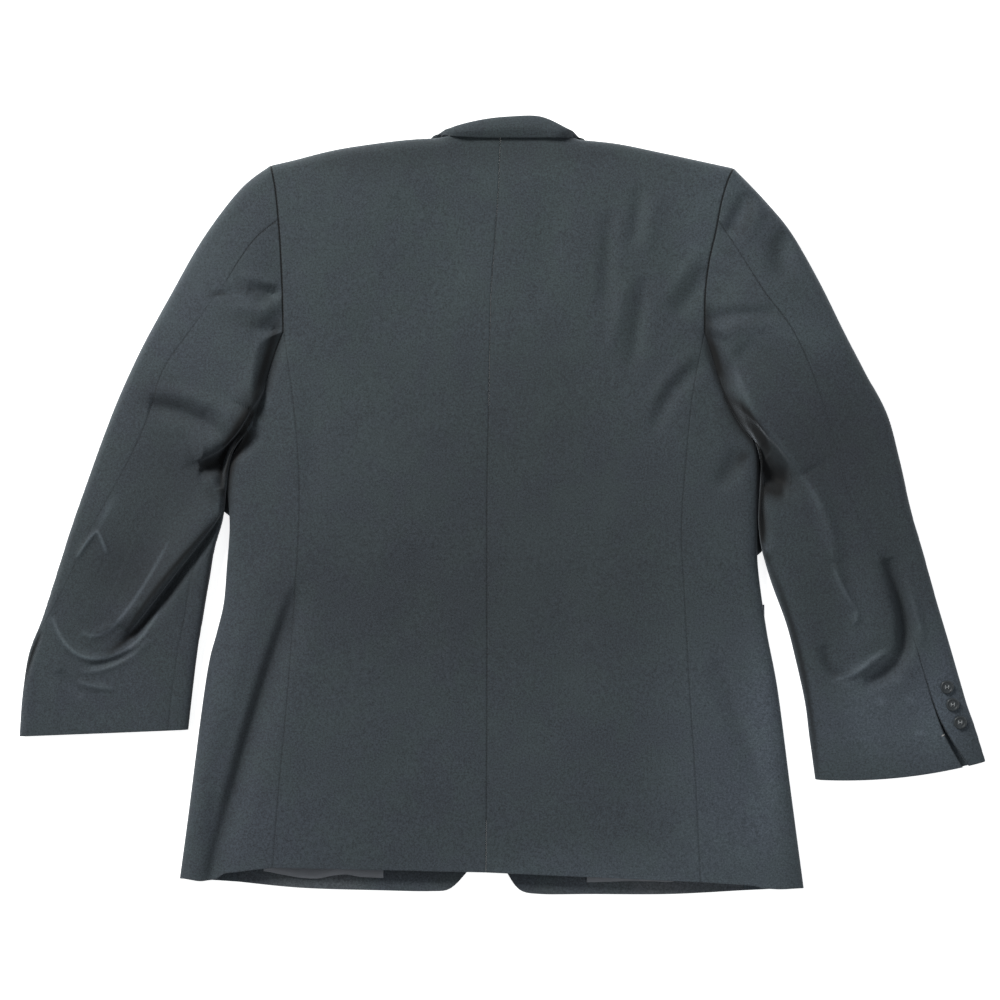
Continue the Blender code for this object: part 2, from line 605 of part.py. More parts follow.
def crowd(w):
    """Place round the ring stretched at the sleeve's two edges, where columns lie closer."""
    amount, width = EDGE_CROWDING
    return w + sum(amount * np.tanh((w - tip) / width) for tip in (-0.5, 0.0, 0.5, 1.0, 1.5))


def seam_room(w):
    """Half the gap at a sleeve seam, wider where the seam crosses one of the sleeve's edges."""
    return SEAM_SHARE * (1 + 3 * sum(np.exp(-((w - tip) / 0.025) ** 2) for tip in (0.0, 0.5, 1.0)))


def sleeve_piece(side, name, samples):
    """Surface of one sleeve piece, c across it and v down it, and its number of columns."""
    table = np.asarray(SLEEVE_SECTIONS[side], float)
    first, second, lap = {"under": (6, 7, 0.0), "top": (7, 6, 1.0)}[name]
    start, end = table[0, first], table[0, second] + lap
    turns = np.concatenate((samples, samples + 1))
    inside = turns[(turns > start + 0.008) & (turns < end - 0.008)]
    at_ring = np.concatenate(([start], inside, [end]))
    count = len(at_ring) - 1
    places = np.linspace(-0.3, 1.4, 1701)
    crowded = crowd(places)

    def around(c, v):
        low, high = sleeve_seam(side, first, v), sleeve_seam(side, second, v) + lap
        low, high = crowd(low + seam_room(low)), crowd(high - seam_room(high))
        free = np.interp(low + (high - low) * c, crowded, places)
        met = np.interp(c * count, np.arange(count + 1), at_ring)
        met = met + SEAM_SHARE * (1 - 2 * c)
        return met + (free - met) * smooth(v / SEAM_REACH)

    def surface(c, v):
        return sleeve_surface(side, around(c, v), v)
    return surface, around, count


def body_normal(surface, side, a, b, step=1e-4):
    """Unit normal of a body piece, for the sleeve wall that meets it."""
    b0, b1 = np.clip(b - step, 0, 1), np.clip(b + step, 0, 1)
    cross = np.cross(surface(side, a + step, b) - surface(side, a - step, b),
                     surface(side, a, b1) - surface(side, a, b0))
    return cross / np.linalg.norm(cross, axis=-1)[..., None]


def build_sleeves(material, collection):
    samples = ring_samples()
    rows = np.linspace(0, 1, SLEEVE_RINGS + 1)
    for side in ("left", "right"):
        for name in ("under", "top"):
            surface, around, count = sleeve_piece(side, name, samples)
            c, v = np.meshgrid(np.linspace(0, 1, count + 1), rows)
            outer = surface(c, v)
            inward = 1 if side == "left" else -1
            normal = inward * normals_of(surface, c, v)
            # at the armhole the wall's inner edge follows the body's
            at_body = armhole_loop(side, around(c[0], v[0]), body_normal)
            facing = np.sign((at_body * normal[1]).sum(-1))[..., None]
            normal[0] = at_body * facing
            make_wall("%s_sleeve_%s" % (name, side), outer, outer + CLOTH * normal, material, collection)


def collar_surface(t, c):
    """The collar: t round the neck from the left gorge to the right, c from foot to outer edge."""
    table = np.asarray(COLLAR_SECTIONS, float)
    row = rows_at(table, t * (len(table) - 1))
    foot, crease, edge = row[..., 0:3], row[..., 3:6], row[..., 6:9]
    half, lean, bulge = row[..., 9:10], np.radians(row[..., 10:11]), row[..., 11:12]
    out = crease[..., :2] - np.array(NECK_CENTRE)
    out = out / np.linalg.norm(out, axis=-1)[..., None]
    across = np.concatenate((out * np.cos(lean), np.sin(lean)), -1)
    reach = crease - (foot + edge) / 2
    reach = reach - across * (reach * across).sum(-1)[..., None]
    reach = reach / np.linalg.norm(reach, axis=-1)[..., None]
    low, high = crease - reach * half - across * half, crease - reach * half + across * half
    stops = (foot, (foot + low) / 2, low, crease, high, (high + edge) / 2 + across * bulge, edge)
    section = np.stack(stops, -2)
    place = c * (len(stops) - 1)
    low_stop = np.minimum(place.astype(int), len(stops) - 2)
    f = (place - low_stop)[..., None]

    def stop(offset):
        index = np.clip(low_stop + offset, 0, len(stops) - 1)
        return np.take_along_axis(section, index[..., None, None], -2)[..., 0, :]

    p, q, r, s = stop(-1), stop(0), stop(1), stop(2)
    skin = 0.5 * (2 * q + (r - p) * f + (2 * p - 5 * q + 4 * r - s) * f ** 2
                  + (3 * q - 3 * r + s - p) * f ** 3)
    skin[..., 2] = np.maximum(skin[..., 2], 0)
    return skin


def build_collar(material, collection):
    columns = np.linspace(0, 1, COLLAR_RINGS + 1)
    rows = np.array(COLLAR_STEPS) / COLLAR_STEPS[-1]
    wall_from("collar", collar_surface, columns, rows, COLLAR_CLOTH, material, collection)


def build_lapels(material, collection):
    for side in ("left", "right"):
        def surface(u, v, side=side):
            def outer(t):
                return line_at(LAPEL_OUTER[side], t)

            def fold(t):
                return line_at(LAPEL_ROLL[side], t)

            def foot(t):
                return outer(0 * t) + (fold(0 * t) - outer(0 * t)) * t[..., None]

            def gorge(t):
                return line_at(LAPEL_TOP[side], t)

            plan = patch(outer, fold, foot, gorge, u, v)
            lift = right_lapel_floor(plan) if side == "right" else 0 * u
            return np.concatenate((plan, lift[..., None]), -1)
        inward = LAPEL_CLOTH if side == "left" else -LAPEL_CLOTH
        wall_from("lapel_" + side, surface, np.linspace(0, 1, 6), np.linspace(0, 1, 15), inward,
                  material, collection)


def build_flaps(material, collection):
    for side in ("left", "right"):
        inner_top, outer_top, outer_low, inner_low = (np.array(p, float) for p in FLAP_CORNERS[side])

        def surface(u, v, corners=(inner_top, outer_top, outer_low, inner_low)):
            u1, v1 = u[..., None], v[..., None]
            top = corners[0] + (corners[1] - corners[0]) * u1
            low = corners[3] + (corners[2] - corners[3]) * u1
            plan = low + (top - low) * v1
            return np.concatenate((plan, 0 * u1), -1)
        inward = -FLAP_CLOTH if side == "left" else FLAP_CLOTH
        wall_from("flap_" + side, surface, np.linspace(0, 1, 7), np.linspace(0, 1, 4), inward,
                  material, collection)


def build_linings(material, collection):
    for side in ("left", "right"):
        x0, x1, y0, y1, height = LINING_SPANS[side]

        def surface(u, v, x0=x0, x1=x1, y0=y0, y1=y1, height=height, side=side):
            low = y0 + (y1 - y0) * u
            plan = np.stack((x0 + (x1 - x0) * u, low + height * v), -1)
            z = front_floor(side, plan) + CLOTH + LAYER_GAP + LINING_CLOTH
            return np.concatenate((plan, z[..., None]), -1)
        wall_from("lining_" + side, surface, np.linspace(0, 1, 7), np.linspace(0, 1, 4), -LINING_CLOTH,
                  material, collection)


def make_button(name, button, matrix, material, collection):
    """A dished button turned from its profile, face up in its own frame."""
    radius, height = button["radius"] * MM, button["height"] * MM
    profile = ((0, 0), (0.80, 0), (1.0, 0.35), (0.97, 0.85), (0.86, 1.0), (0.68, 0.78), (0, 0.72))
    bm = bmesh.new()
    verts = [bm.verts.new((r * radius, 0, z * height)) for r, z in profile]
    edges = [bm.edges.new(pair) for pair in zip(verts, verts[1:])]
    bmesh.ops.spin(bm, geom=verts + edges, cent=(0, 0, 0), axis=(0, 0, 1), angle=math.tau, steps=14,
                   use_merge=True)
    bmesh.ops.remove_doubles(bm, verts=bm.verts[:], dist=1e-5)
    item = place_mesh(bm, name, material, collection)
    item.matrix_world = matrix
    return item


def build_buttons(material, collection):
    face_down = Matrix.Rotation(math.pi, 4, "X")
    for number, (x, y) in enumerate(FRONT_BUTTONS, 1):
        lift = Matrix.Translation((x * MM, y * MM, FRONT_BUTTON["height"] * MM))
        make_button("front_button_%d" % number, FRONT_BUTTON, lift @ face_down, material, collection)
    for number, (x, y) in enumerate(CUFF_BUTTONS["left"], 1):
        lift = Matrix.Translation((x * MM, y * MM, CUFF_BUTTON["height"] * MM))
        make_button("cuff_button_left_%d" % number, CUFF_BUTTON, lift @ face_down, material, collection)
    for number, (x, y) in enumerate(CUFF_BUTTONS["right"], 1):
        place, normal = cuff_seat(np.array((x, y), float))
        turn = Vector((0, 0, 1)).rotation_difference(Vector(normal)).to_matrix().to_4x4()
        seat = Matrix.Translation(Vector(place) * MM) @ turn
        make_button("cuff_button_right_%d" % number, CUFF_BUTTON, seat, material, collection)


def cuff_seat(spot):
    """Where a button sits on the right cuff: just above the cloth under all of its base."""
    w, v = np.meshgrid(np.linspace(0.0, 0.5, 161), np.linspace(0.55, 1, 181))
    skin = sleeve_surface("right", w, v)
    distance = np.linalg.norm(skin[..., :2] - spot, axis=-1)
    base = skin[distance < CUFF_BUTTON["radius"]]
    centre = base.mean(0)
    normal = np.linalg.svd(base - centre)[2][2]
    normal = normal * np.sign(normal[2])
    proud = ((base - centre) @ normal).max() + LAYER_GAP
    return centre + normal * proud, normal


def main():
    for item in list(bpy.data.objects):
        bpy.data.objects.remove(item, do_unlink=True)
    coat = bpy.data.collections.new("sport_coat")
    bpy.context.scene.collection.children.link(coat)
    cloth, lining, button = (make_material(name) for name in ("cloth", "lining", "button"))
    build_backs(cloth, coat)
    build_sides(cloth, coat)
    build_fronts(cloth, coat)
    build_sleeves(cloth, coat)
    build_collar(cloth, coat)
    build_lapels(cloth, coat)
    build_flaps(cloth, coat)
    build_linings(lining, coat)
    build_buttons(button, coat)


main()
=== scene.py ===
"""Looks of a single-breasted sport coat that lies face down on a flat surface, sleeves spread.

Every cloth piece is a thin shell on the form of its CAD solid. The form comes from seam lines,
section tables and folds in millimetres; pieces are built in metres, +Z up, collar towards +Y,
and the wearer's left at -X.
"""
import math

import bmesh
import bpy
import numpy as np
from bpy.props import FloatProperty, FloatVectorProperty, IntProperty, PointerProperty
from mathutils import Matrix, Vector


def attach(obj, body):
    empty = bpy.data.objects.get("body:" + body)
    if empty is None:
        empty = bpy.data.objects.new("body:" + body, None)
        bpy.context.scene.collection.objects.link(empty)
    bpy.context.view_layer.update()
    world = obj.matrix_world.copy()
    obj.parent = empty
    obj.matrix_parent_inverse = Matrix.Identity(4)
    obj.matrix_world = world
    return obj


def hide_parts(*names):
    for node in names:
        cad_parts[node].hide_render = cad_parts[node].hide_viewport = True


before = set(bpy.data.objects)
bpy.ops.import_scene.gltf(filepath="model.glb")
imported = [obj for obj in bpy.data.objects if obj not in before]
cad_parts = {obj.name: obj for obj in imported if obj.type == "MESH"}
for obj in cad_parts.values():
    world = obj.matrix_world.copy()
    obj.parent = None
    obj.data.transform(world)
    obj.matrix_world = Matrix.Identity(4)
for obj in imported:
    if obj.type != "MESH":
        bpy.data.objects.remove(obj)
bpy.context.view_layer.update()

bl_info = {
    "name": "Sport coat laid face down",
    "version": (1, 0, 0),
    "blender": (4, 5, 0),
    "location": "3D View > Sidebar > Coat",
    "description": "Builds the cloth, lining, buttons and stage of a sport coat on its CAD frame",
    "category": "Object",
}

MM = 0.001
SIDES = ("left", "right")
SIGN = {"left": 1, "right": -1}

# ---------------------------------------------------------------- seam lines and sections, from the hem up

SEAM_GAP = 0.06           # between two pieces at a seam
ARMHOLE_GAP = 0.35        # between the body and a sleeve
LAYER_GAP = 0.4           # between the lining and the cloth that it lies on
CLOTH_STEP = 1.6          # from the outer face of one layer to the next layer's, cloth alone
BACK_WIDTH = 225          # usual widths, for the share of a piece that a seam's gap takes
SIDE_WIDTH = 80
ARM_FRACTION = 0.72       # share of a back's or a front's outer border that lies below the armhole
SHOULDER_ROLL = 0.08      # depth of the shoulder's rolled edge, as a share of the armhole's part
FRONT_SHOULDER_ROLL = 0.07
SHOULDER_TURN_END = 0.10  # over this share of its width a back's turn dies out towards the neck
SIDE_ROLL_TOP = 0.18      # depth of the side edge's roll, as a share of the upper and of the lower half
SIDE_ROLL_LOW = 0.28
SLEEVE_ROLL = 0.055       # depth of a sleeve edge's roll, as a share of the sleeve's width
SLEEVE_SIDE_TOP = 0.63    # where across the armhole the back gives way to the side piece, and the front to it
SLEEVE_SIDE_LOW = 0.71

BODY_HEIGHT = (
    (-405, 13.5), (-300, 14.8), (-150, 17.0), (0, 19.0), (120, 20.5), (200, 22.5),
    (280, 24.5), (340, 25.5), (400, 24.0))
PADS = ((-188, 322, 75, 3.0), (188, 320, 75, 3.0))

CENTRE_BACK = ((-17, -382), (-16, -203), (-16, 5), (-14, 109), (-12, 213), (-7, 286), (-4, 330), (-2, 385))
SIDE_BACK = {
    "left": ((-239, -377), (-232, -290), (-224, -205), (-217, -110), (-212, -35), (-211, 25), (-216, 98),
             (-227, 180)),
    "right": ((206, -392), (201, -290), (195, -200), (189, -90), (186, -25), (191, 50), (198, 117),
              (210, 179))}
ARMHOLE_BACK = {
    "left": ((-227, 180), (-228, 224), (-229, 250), (-231, 286), (-235, 328), (-240, 353)),
    "right": ((210, 179), (210, 217), (214, 252), (221, 284), (227, 315), (234, 338), (240, 350))}
SIDE_EDGE = {
    "left": ((-336, -389), (-327, -322), (-313, -213), (-305, -162), (-297.6, -134), (-290, -102),
             (-286.8, -64),
             (-284, -28), (-284.4, -6), (-286, 12), (-286, 28), (-284, 43), (-276.5, 58), (-262, 76)),
    "right": ((314, -399), (300, -294), (287, -194), (275, -130), (266.2, -65), (265.4, -20), (266.0, 0),
              (267.6, 30), (266.2, 52), (262, 66))}
UNDERARM = {
    "left": ((-227, 180), (-234, 163), (-242, 138), (-247, 118), (-254, 98), (-262, 76)),
    "right": ((210, 179), (217, 158), (228, 122), (243, 90), (262, 66))}
SIDE_FRONT = {
    "left": ((-276, -393), (-262, -300), (-252, -205), (-240, -110), (-230, -30), (-226, 40), (-222, 100),
             (-212, 158)),
    "right": ((252, -402), (240, -300), (230, -205), (220, -110), (208, -30), (206, 40), (202, 100),
              (196, 155))}
ARMHOLE_FRONT = {
    "left": ((-212, 158), (-198, 190), (-192, 235), (-197, 285), (-215, 325), (-240, 353)),
    "right": ((196, 155), (183, 190), (178, 235), (186, 285), (208, 322), (240, 350))}
SHOULDER = {
    "left": ((-240, 353), (-218, 358), (-169, 370), (-106, 379), (-68, 381.5)),
    "right": ((240, 350), (217, 355), (164, 366.5), (120, 375.5), (82, 379.6))}
NECK_BACK = {
    "left": ((-68, 381.5), (-48, 384), (-24, 385), (-2, 385)),
    "right": ((82, 379.6), (62, 383.2), (32, 385), (-2, 385))}
SHOULDER_SHARE = 0.72     # share of a back's upper border that is shoulder, the rest being neck
HEM_SAG = {"left": 5.5, "right": 2.4}
TUCK = {"left": -14, "right": -55}   # from this y upwards a side piece's lower half reaches under the sleeve
TUCK_REACH = 9.5
TUCK_RAMP = 8
FRONT_EDGE = {
    "left": ((-36, -382), (-14, -320), (3, -240), (9, -154), (9, -46), (-12, 90), (-32, 210), (-52, 322),
             (-62, 352), (-68, 381.5)),
    "right": ((5, -384), (-16, -320), (-30, -240), (-34, -154), (-34, -46), (0, 90), (34, 210), (64, 320),
              (75, 350), (82, 379.6))}
FRONT_HEM = {
    "left": ((-276, -393), (-209, -399.5), (-130, -402), (-75, -403), (-54, -400), (-36, -382)),
    "right": ((252, -402), (174, -406), (92, -406), (40, -406), (18, -401.5), (5, -384))}

SLEEVE_SECTIONS = {
    # outer x, outer y, inner x, inner y, height, bow, elbow seam, inseam
    "left": (
        (-240, 353, -262, 76, 29, 0, 0.105, 0.600),
        (-271, 329, -266.5, 72.5, 29, 0, 0.114, 0.590),
        (-310, 278, -271.5, 67.5, 31, 0, 0.132, 0.575),
        (-345, 217, -276.5, 61, 31, 0, 0.120, 0.560),
        (-374, 164, -281, 52, 30, 0, 0.108, 0.548),
        (-397, 115, -284.8, 36, 28, 0, 0.130, 0.535),
        (-415, 70, -287, 14, 26, 0, 0.125, 0.520),
        (-431, 26, -290.5, -15, 24, 0, 0.100, 0.490),
        (-448, -22, -299, -45, 22, 0, 0.070, 0.455),
        (-464, -72, -305, -80, 20, 0, 0.047, 0.440),
        (-479, -118, -311, -115, 18, 0, 0.018, 0.444),
        (-493, -155, -317, -150, 16, 0, -0.004, 0.443),
        (-500, -200, -322, -190, 14, 0, -0.006, 0.441),
        (-503, -241, -327, -234, 12, 0, -0.006, 0.440)),
    "right": (
        (240, 350, 262, 66, 29, 0, 0.105, 0.600),
        (270, 319, 264.8, 62, 29, 0, 0.130, 0.590),
        (299, 284, 266.8, 55, 31, 0, 0.150, 0.578),
        (328, 234, 268.2, 45, 31, 0, 0.142, 0.566),
        (354, 182, 268.2, 33, 30, 0, 0.150, 0.558),
        (377, 138, 267.5, 18, 28, 0, 0.170, 0.552),
        (400, 95, 266.4, 0, 26, 0, 0.190, 0.550),
        (413, 48, 266.2, -20, 25, 0, 0.190, 0.548),
        (425, -5, 270, -47, 23, 0, 0.168, 0.546),
        (437, -46, 281, -84, 21, 0, 0.140, 0.545),
        (451, -96, 295, -122, 19, 0, 0.116, 0.544),
        (465, -143, 305, -160, 17, 1, 0.108, 0.543),
        (482, -201, 315, -205, 15, 3, 0.104, 0.542),
        (493, -233, 320, -243, 13, 5, 0.092, 0.541),
        (503.5, -267, 326, -286, 12, 7, 0.060, 0.540))}
SLEEVE_CROWN = 0.45       # share of a sleeve's height that is domed
SLEEVE_DRAPE = 0.6
SLEEVE_LEAST = 3.4        # least height of a sleeve's upper side over what lies in it
SLEEVE_AWAY = 0.6         # a sleeve's gap goes outwards, and by this share of it towards the collar
BOW_REACH = 0.60          # share of the sleeve over which its upper and its lower side ease into the armhole
LOW_BOW_REACH = 0.30
SEAM_REACH = 0.10         # the same for its height
SEAM_SHARE = SEAM_GAP / 2 / 380
SEAM_CROSSING = 0.025     # share of the ring near an edge where a seam that crosses it needs more room
EDGE_CROWDING = (0.12, 0.02)
VENT = {"left": (0.93, 0.0), "right": (0.79, 0.0085)}   # where a cuff's vent opens, and its share of the ring

ELBOW_LINE = {
    # how strongly the seam shows: pairs of a share from the armhole to the cuff and a strength
    "left": ((0, 0.9), (0.11, 0.8), (0.14, 0.1), (0.19, 0.1), (0.22, 0.5), (0.45, 0.4), (0.55, 0.15),
             (0.8, 0.2),
             (0.86, 0.8), (1, 0.8)),
    "right": ((0, 0.7), (0.22, 0.8), (0.30, 0.4), (0.42, 0.15), (0.76, 0.1), (0.80, 1.0), (1, 1.1))}
BACK_SEAM = ((0, 0.4), (ARM_FRACTION, 0.5), (0.75, 1.5), (0.96, 1.2), (1, 0.5))
INSEAM_LINE = {"left": ((0, 0.3), (0.6, 0.3), (0.7, 0.6), (1, 0.6)), "right": ((0, 0.3), (1, 0.4))}

BEDS = {
    # x0, y0, x1, y1, reach, rise, ramp
    "lapel_left": (-20, 45, -92, 285, 58, 2.0, 34),
    "lapel_right": (14, 45, 103, 285, 62, 2.8, 34),
    "flap_left": (-158, -130, -265, -136, 48, 2.0, 28),
    "flap_right": (142, -132, 250, -134, 48, 2.0, 28),
    "collar_left": (-80, 310, -78, 366, 40, 2.8, 26),
    "collar_right": (92, 308, 92, 364, 40, 2.8, 26),
    "front_buttons": (-12, -46, -12, -154, 34, 3.6, 70),
    "cuff_buttons": (-484, -163, -487, -208, 22, 3.0, 14)}
LEFT_OVERLAP = (14, 46)   # how far past the left front's edge the cloth above stays lifted, and its ramp
OVERLAP_TOP = (70, 50)    # the y above which the overlap ends, and its ramp
OVERLAP_STEP = 2.8

COLLAR_SECTIONS = (
    # foot x, y, z,  crease x, y, z,  edge x, y, z,  half thickness, lean in degrees, bulge
    (-51, 323, 5.0, -44, 327, 2.5, -108, 296, 0.0, 2.5, -90, 0.0),
    (-60, 350, 5.2, -50, 352, 2.6, -104, 338, 0.0, 2.6, -90, 0.0),
    (-63.5, 368, 5.6, -54, 372, 2.8, -94, 362, 0.0, 2.7, -90, 0.0),
    (-62.5, 379, 9.5, -55.5, 383.5, 7.0, -78, 377.5, 0.2, 2.7, -50, 0.0),
    (-62, 383.6, 14.5, -57, 388.4, 16.0, -68.5, 385.2, 6.0, 2.7, 15, 0.5),
    (-49, 385.6, 22.6, -48, 393, 25.6, -50, 381.5, 27.6, 2.8, 80, 1.5),
    (-20, 386.2, 22.8, -20, 399.6, 26.4, -20, 380.0, 27.8, 3.4, 90, 2.2),
    (8, 386.2, 22.8, 8, 402.6, 26.6, 8, 380.0, 27.8, 3.4, 90, 2.2),
    (38, 386.2, 22.8, 38, 402.8, 26.4, 38, 380.0, 27.8, 3.4, 90, 2.2),
    (63, 384.2, 22.6, 61, 393.6, 25.6, 64, 380.2, 27.6, 2.8, 80, 1.5),
    (76, 381.6, 14.5, 71, 386.6, 16.0, 80.5, 381.6, 6.0, 2.7, 15, 0.5),
    (76.5, 376.5, 9.5, 69.5, 381, 7.0, 91, 375.0, 0.2, 2.7, -50, 0.0),
    (76, 366, 5.6, 66, 370, 2.8, 108, 360, 0.0, 2.7, -90, 0.0),
    (72.5, 349, 5.2, 62, 351, 2.6, 118, 336, 0.0, 2.6, -90, 0.0),
    (62, 322, 5.0, 54, 326, 2.5, 120, 294, 0.0, 2.5, -90, 0.0))
NECK_CENTRE = (7, 345)

LAPEL_OUTER = {"left": ((-5, 0), (-60, 95), (-104, 190), (-131, 262)),
               "right": ((-12, 0), (68, 95), (115, 190), (143, 260))}
LAPEL_TOP = {"left": ((-131, 262), (-86, 304), (-52, 319)),
             "right": ((143, 260), (98, 302), (64, 317))}
LAPEL_ROLL = {"left": ((2, 0), (-12, 90), (-32, 210), (-52, 319)),
              "right": ((-21, 0), (0, 90), (34, 210), (64, 317))}
FLAP_CORNERS = {
    # inner top, outer top, outer bottom, inner bottom
    "left": ((-142, -102), (-290, -110), (-290, -163), (-138, -157)),
    "right": ((126, -104), (273.5, -104), (274, -163), (122, -160))}
FLAP_ROUNDING = 0.16
LINING_SPANS = {"left": (-249, -124), "right": (88, 187)}
LINING_TOP = -332
LINING_EDGE = {
    # the strips' lower edges
    "left": ((-249, -382), (-232, -385), (-212, -388.5), (-192, -389.5), (-176, -386.5), (-162, -385.5),
             (-148, -388), (-124, -389)),
    "right": ((88, -393.5), (110, -393), (134, -392.2), (158, -392.6), (176, -393), (187, -390))}

# ---------------------------------------------------------------- folds, creases, worn lines with painted highlights, painted shade, and broad tones with painted light and shade

BODY_FOLDS = (
    # x0, y0, xm, ym, x1, y1, width to the left of its course, to the right, height and, if it has one, lean
    (-214, -88, -266, -222, -310, -414, 19, 6, -7.0), (-294, -300, -303, -345, -306, -400, 10, 8, -2.6),
    (-240, -60, -282, -170, -328, -350, 14, 16, 2.0), (221, -160, 240, -220, 277, -312, 9, 13, -2.6),
    (249, 58, 240, 40, 224, 18, 10, 10, -3.4), (-229, 178, -246, 126, -264, 82, 7, 7, -5.0),
    (-286, 50, -272, 56, -258, 76, 8, 8, -7.0), (211, 186, 226, 122, 263, 66, 7, 7, -4.0),
    (-221, 348, -150, 300, -106, 255, 22, 22, 1.6), (111, 304, 109, 252, 106, 205, 8, 8, -2.2),
    (142, 328, 142, 300, 134, 269, 7, 7, -2.2), (158, 318, 154, 290, 150, 262, 8, 8, 1.2),
    (148, 236, 142, 194, 134, 142, 8, 8, -2.6), (128, 232, 122, 196, 112, 160, 7, 7, 1.6),
    (212, 246, 200, 216, 178, 198, 9, 9, -2.4), (206, 262, 186, 240, 166, 212, 8, 8, 1.4),
    (206, 144, 172, 122, 158, 78, 8, 8, -2.8), (201, 158, 172, 138, 156, 108, 7, 7, 1.4),
    (-200, 120, -190, 60, -205, 10, 14, 14, -1.6), (-214, 240, -190, 218, -150, 190, 15, 15, 1.2),
    (60, -60, 66, -150, 58, -260, 30, 30, -1.4), (-90, -40, -98, -150, -86, -280, 34, 34, -1.4),
    (-112, 320, -60, 290, -40, 230, 26, 26, -1.4),
    (60, 330, 44, 280, 40, 210, 20, 20, -1.4))
SLEEVE_FOLDS = {
    "left": (
        (-289, 0, -350, -72, -391, -130, 4, 24, 7.0, 6.0), (-380, -98, -402, -130, -430, -137, 5, 6, 1.6),
        (-292, -14, -352, -88, -392, -146, 8, 8, -10.0), (-360, -104, -372, -150, -412, -159, 4, 4, 1.8),
        (-412, -159, -452, -166, -467, -117, 4, 4, 2.6), (-437, -173, -402, -174, -366, -140, 3.5, 4, 1.2),
        (-430, -167, -404, -166, -380, -150, 3.5, 3.5, -2.6),
        (-441, -183, -425, -190, -405, -190, 4, 4, 1.8), (-461, -172, -450, -186, -437, -198, 6, 6, -2.6),
        (-441.7, -55, -432, -38, -420.5, -26, 3, 3, 1.8), (-420.5, -26, -414, -38, -410, -51, 3, 3, 1.6),
        (-368, 104, -323, 98, -284, 66, 8, 10, -7.0), (-362, 120, -318, 112, -284, 92, 8, 8, 2.4),
        (-276, 224, -254, 217, -237, 203, 6, 7, -4.6), (-282, 238, -262, 232, -240, 218, 5, 5, 1.8),
        (-290, 204, -262, 198, -240, 197, 6, 6, 2.0), (-276, 184, -256, 180, -236, 181, 5, 6, -3.6),
        (-306, 216, -298, 220, -284, 219, 4, 4, -1.2), (-229, 192, -250, 146, -270, 100, 4, 18, 7.0, 6.0),
        (-270, 100, -282, 66, -320, 48, 4, 18, 6.5, 5.0), (-231, 184, -245, 140, -262, 90, 6, 7, -18.0),
        (-314, 42, -296, 38, -264, 80, 12, 10, -17.0), (-290, 64, -294, 40, -290, 18, 6, 6, -10.0),
        (-479, -130, -488, -150, -499, -187, 3, 3, -3.0)),
    "right": (
        (212, 214, 232, 166, 252, 124, 18, 4, 8.0, -9.0), (252, 124, 276, 92, 318, 33, 18, 6, 7.0, -5.0),
        (208, 208, 216, 154, 238, 108, 7, 7, -14.0), (238, 108, 251, 82, 278, 48, 7, 7, -9.0),
        (262, 52, 280, 26, 300, 24, 13, 12, -17.0), (265, 22, 266, -14, 268, -46, 8, 8, -14.0),
        (314, 32, 338, -6, 345, -60, 10, 9, 3.6), (345, -60, 350, -86, 366, -108, 4, 4, 3.0),
        (366, -108, 370, -117, 364, -124, 3.5, 3.5, 1.8), (399, -56, 430, -124, 414, -160, 7, 8, -13.0),
        (415, -158, 404, -178, 376, -186, 7, 7, -6.5), (416, -80, 434, -112, 436, -144, 4, 4, 2.6),
        (346, -181, 366, -178, 398, -152, 3.5, 5, 3.2), (335, -146, 340, -186, 362, -178, 6, 6, -4.5),
        (258, 322, 260, 300, 254, 276, 6, 6, -3.6), (304, 290, 288, 262, 302, 232, 11, 10, -4.6),
        (272, 318, 272, 296, 270, 270, 6, 6, 2.0), (238, 176, 256, 192, 298, 195, 6, 6, -4.4),
        (236, 164, 260, 176, 290, 184, 7, 7, 2.4), (284, 166, 274, 150, 264, 132, 16, 6, -3.0),
        (238, 290, 246, 290, 252, 286, 4, 4, 1.4), (222, 262, 232, 262, 241, 258, 3.5, 3.5, -3.0),
        (220, 268, 232, 270, 244, 266, 4, 4, 1.6), (217, 247, 228, 246, 241, 238, 3.5, 3.5, -2.6),
        (213, 225, 221, 226, 230, 223, 3.5, 3.5, -2.2))}
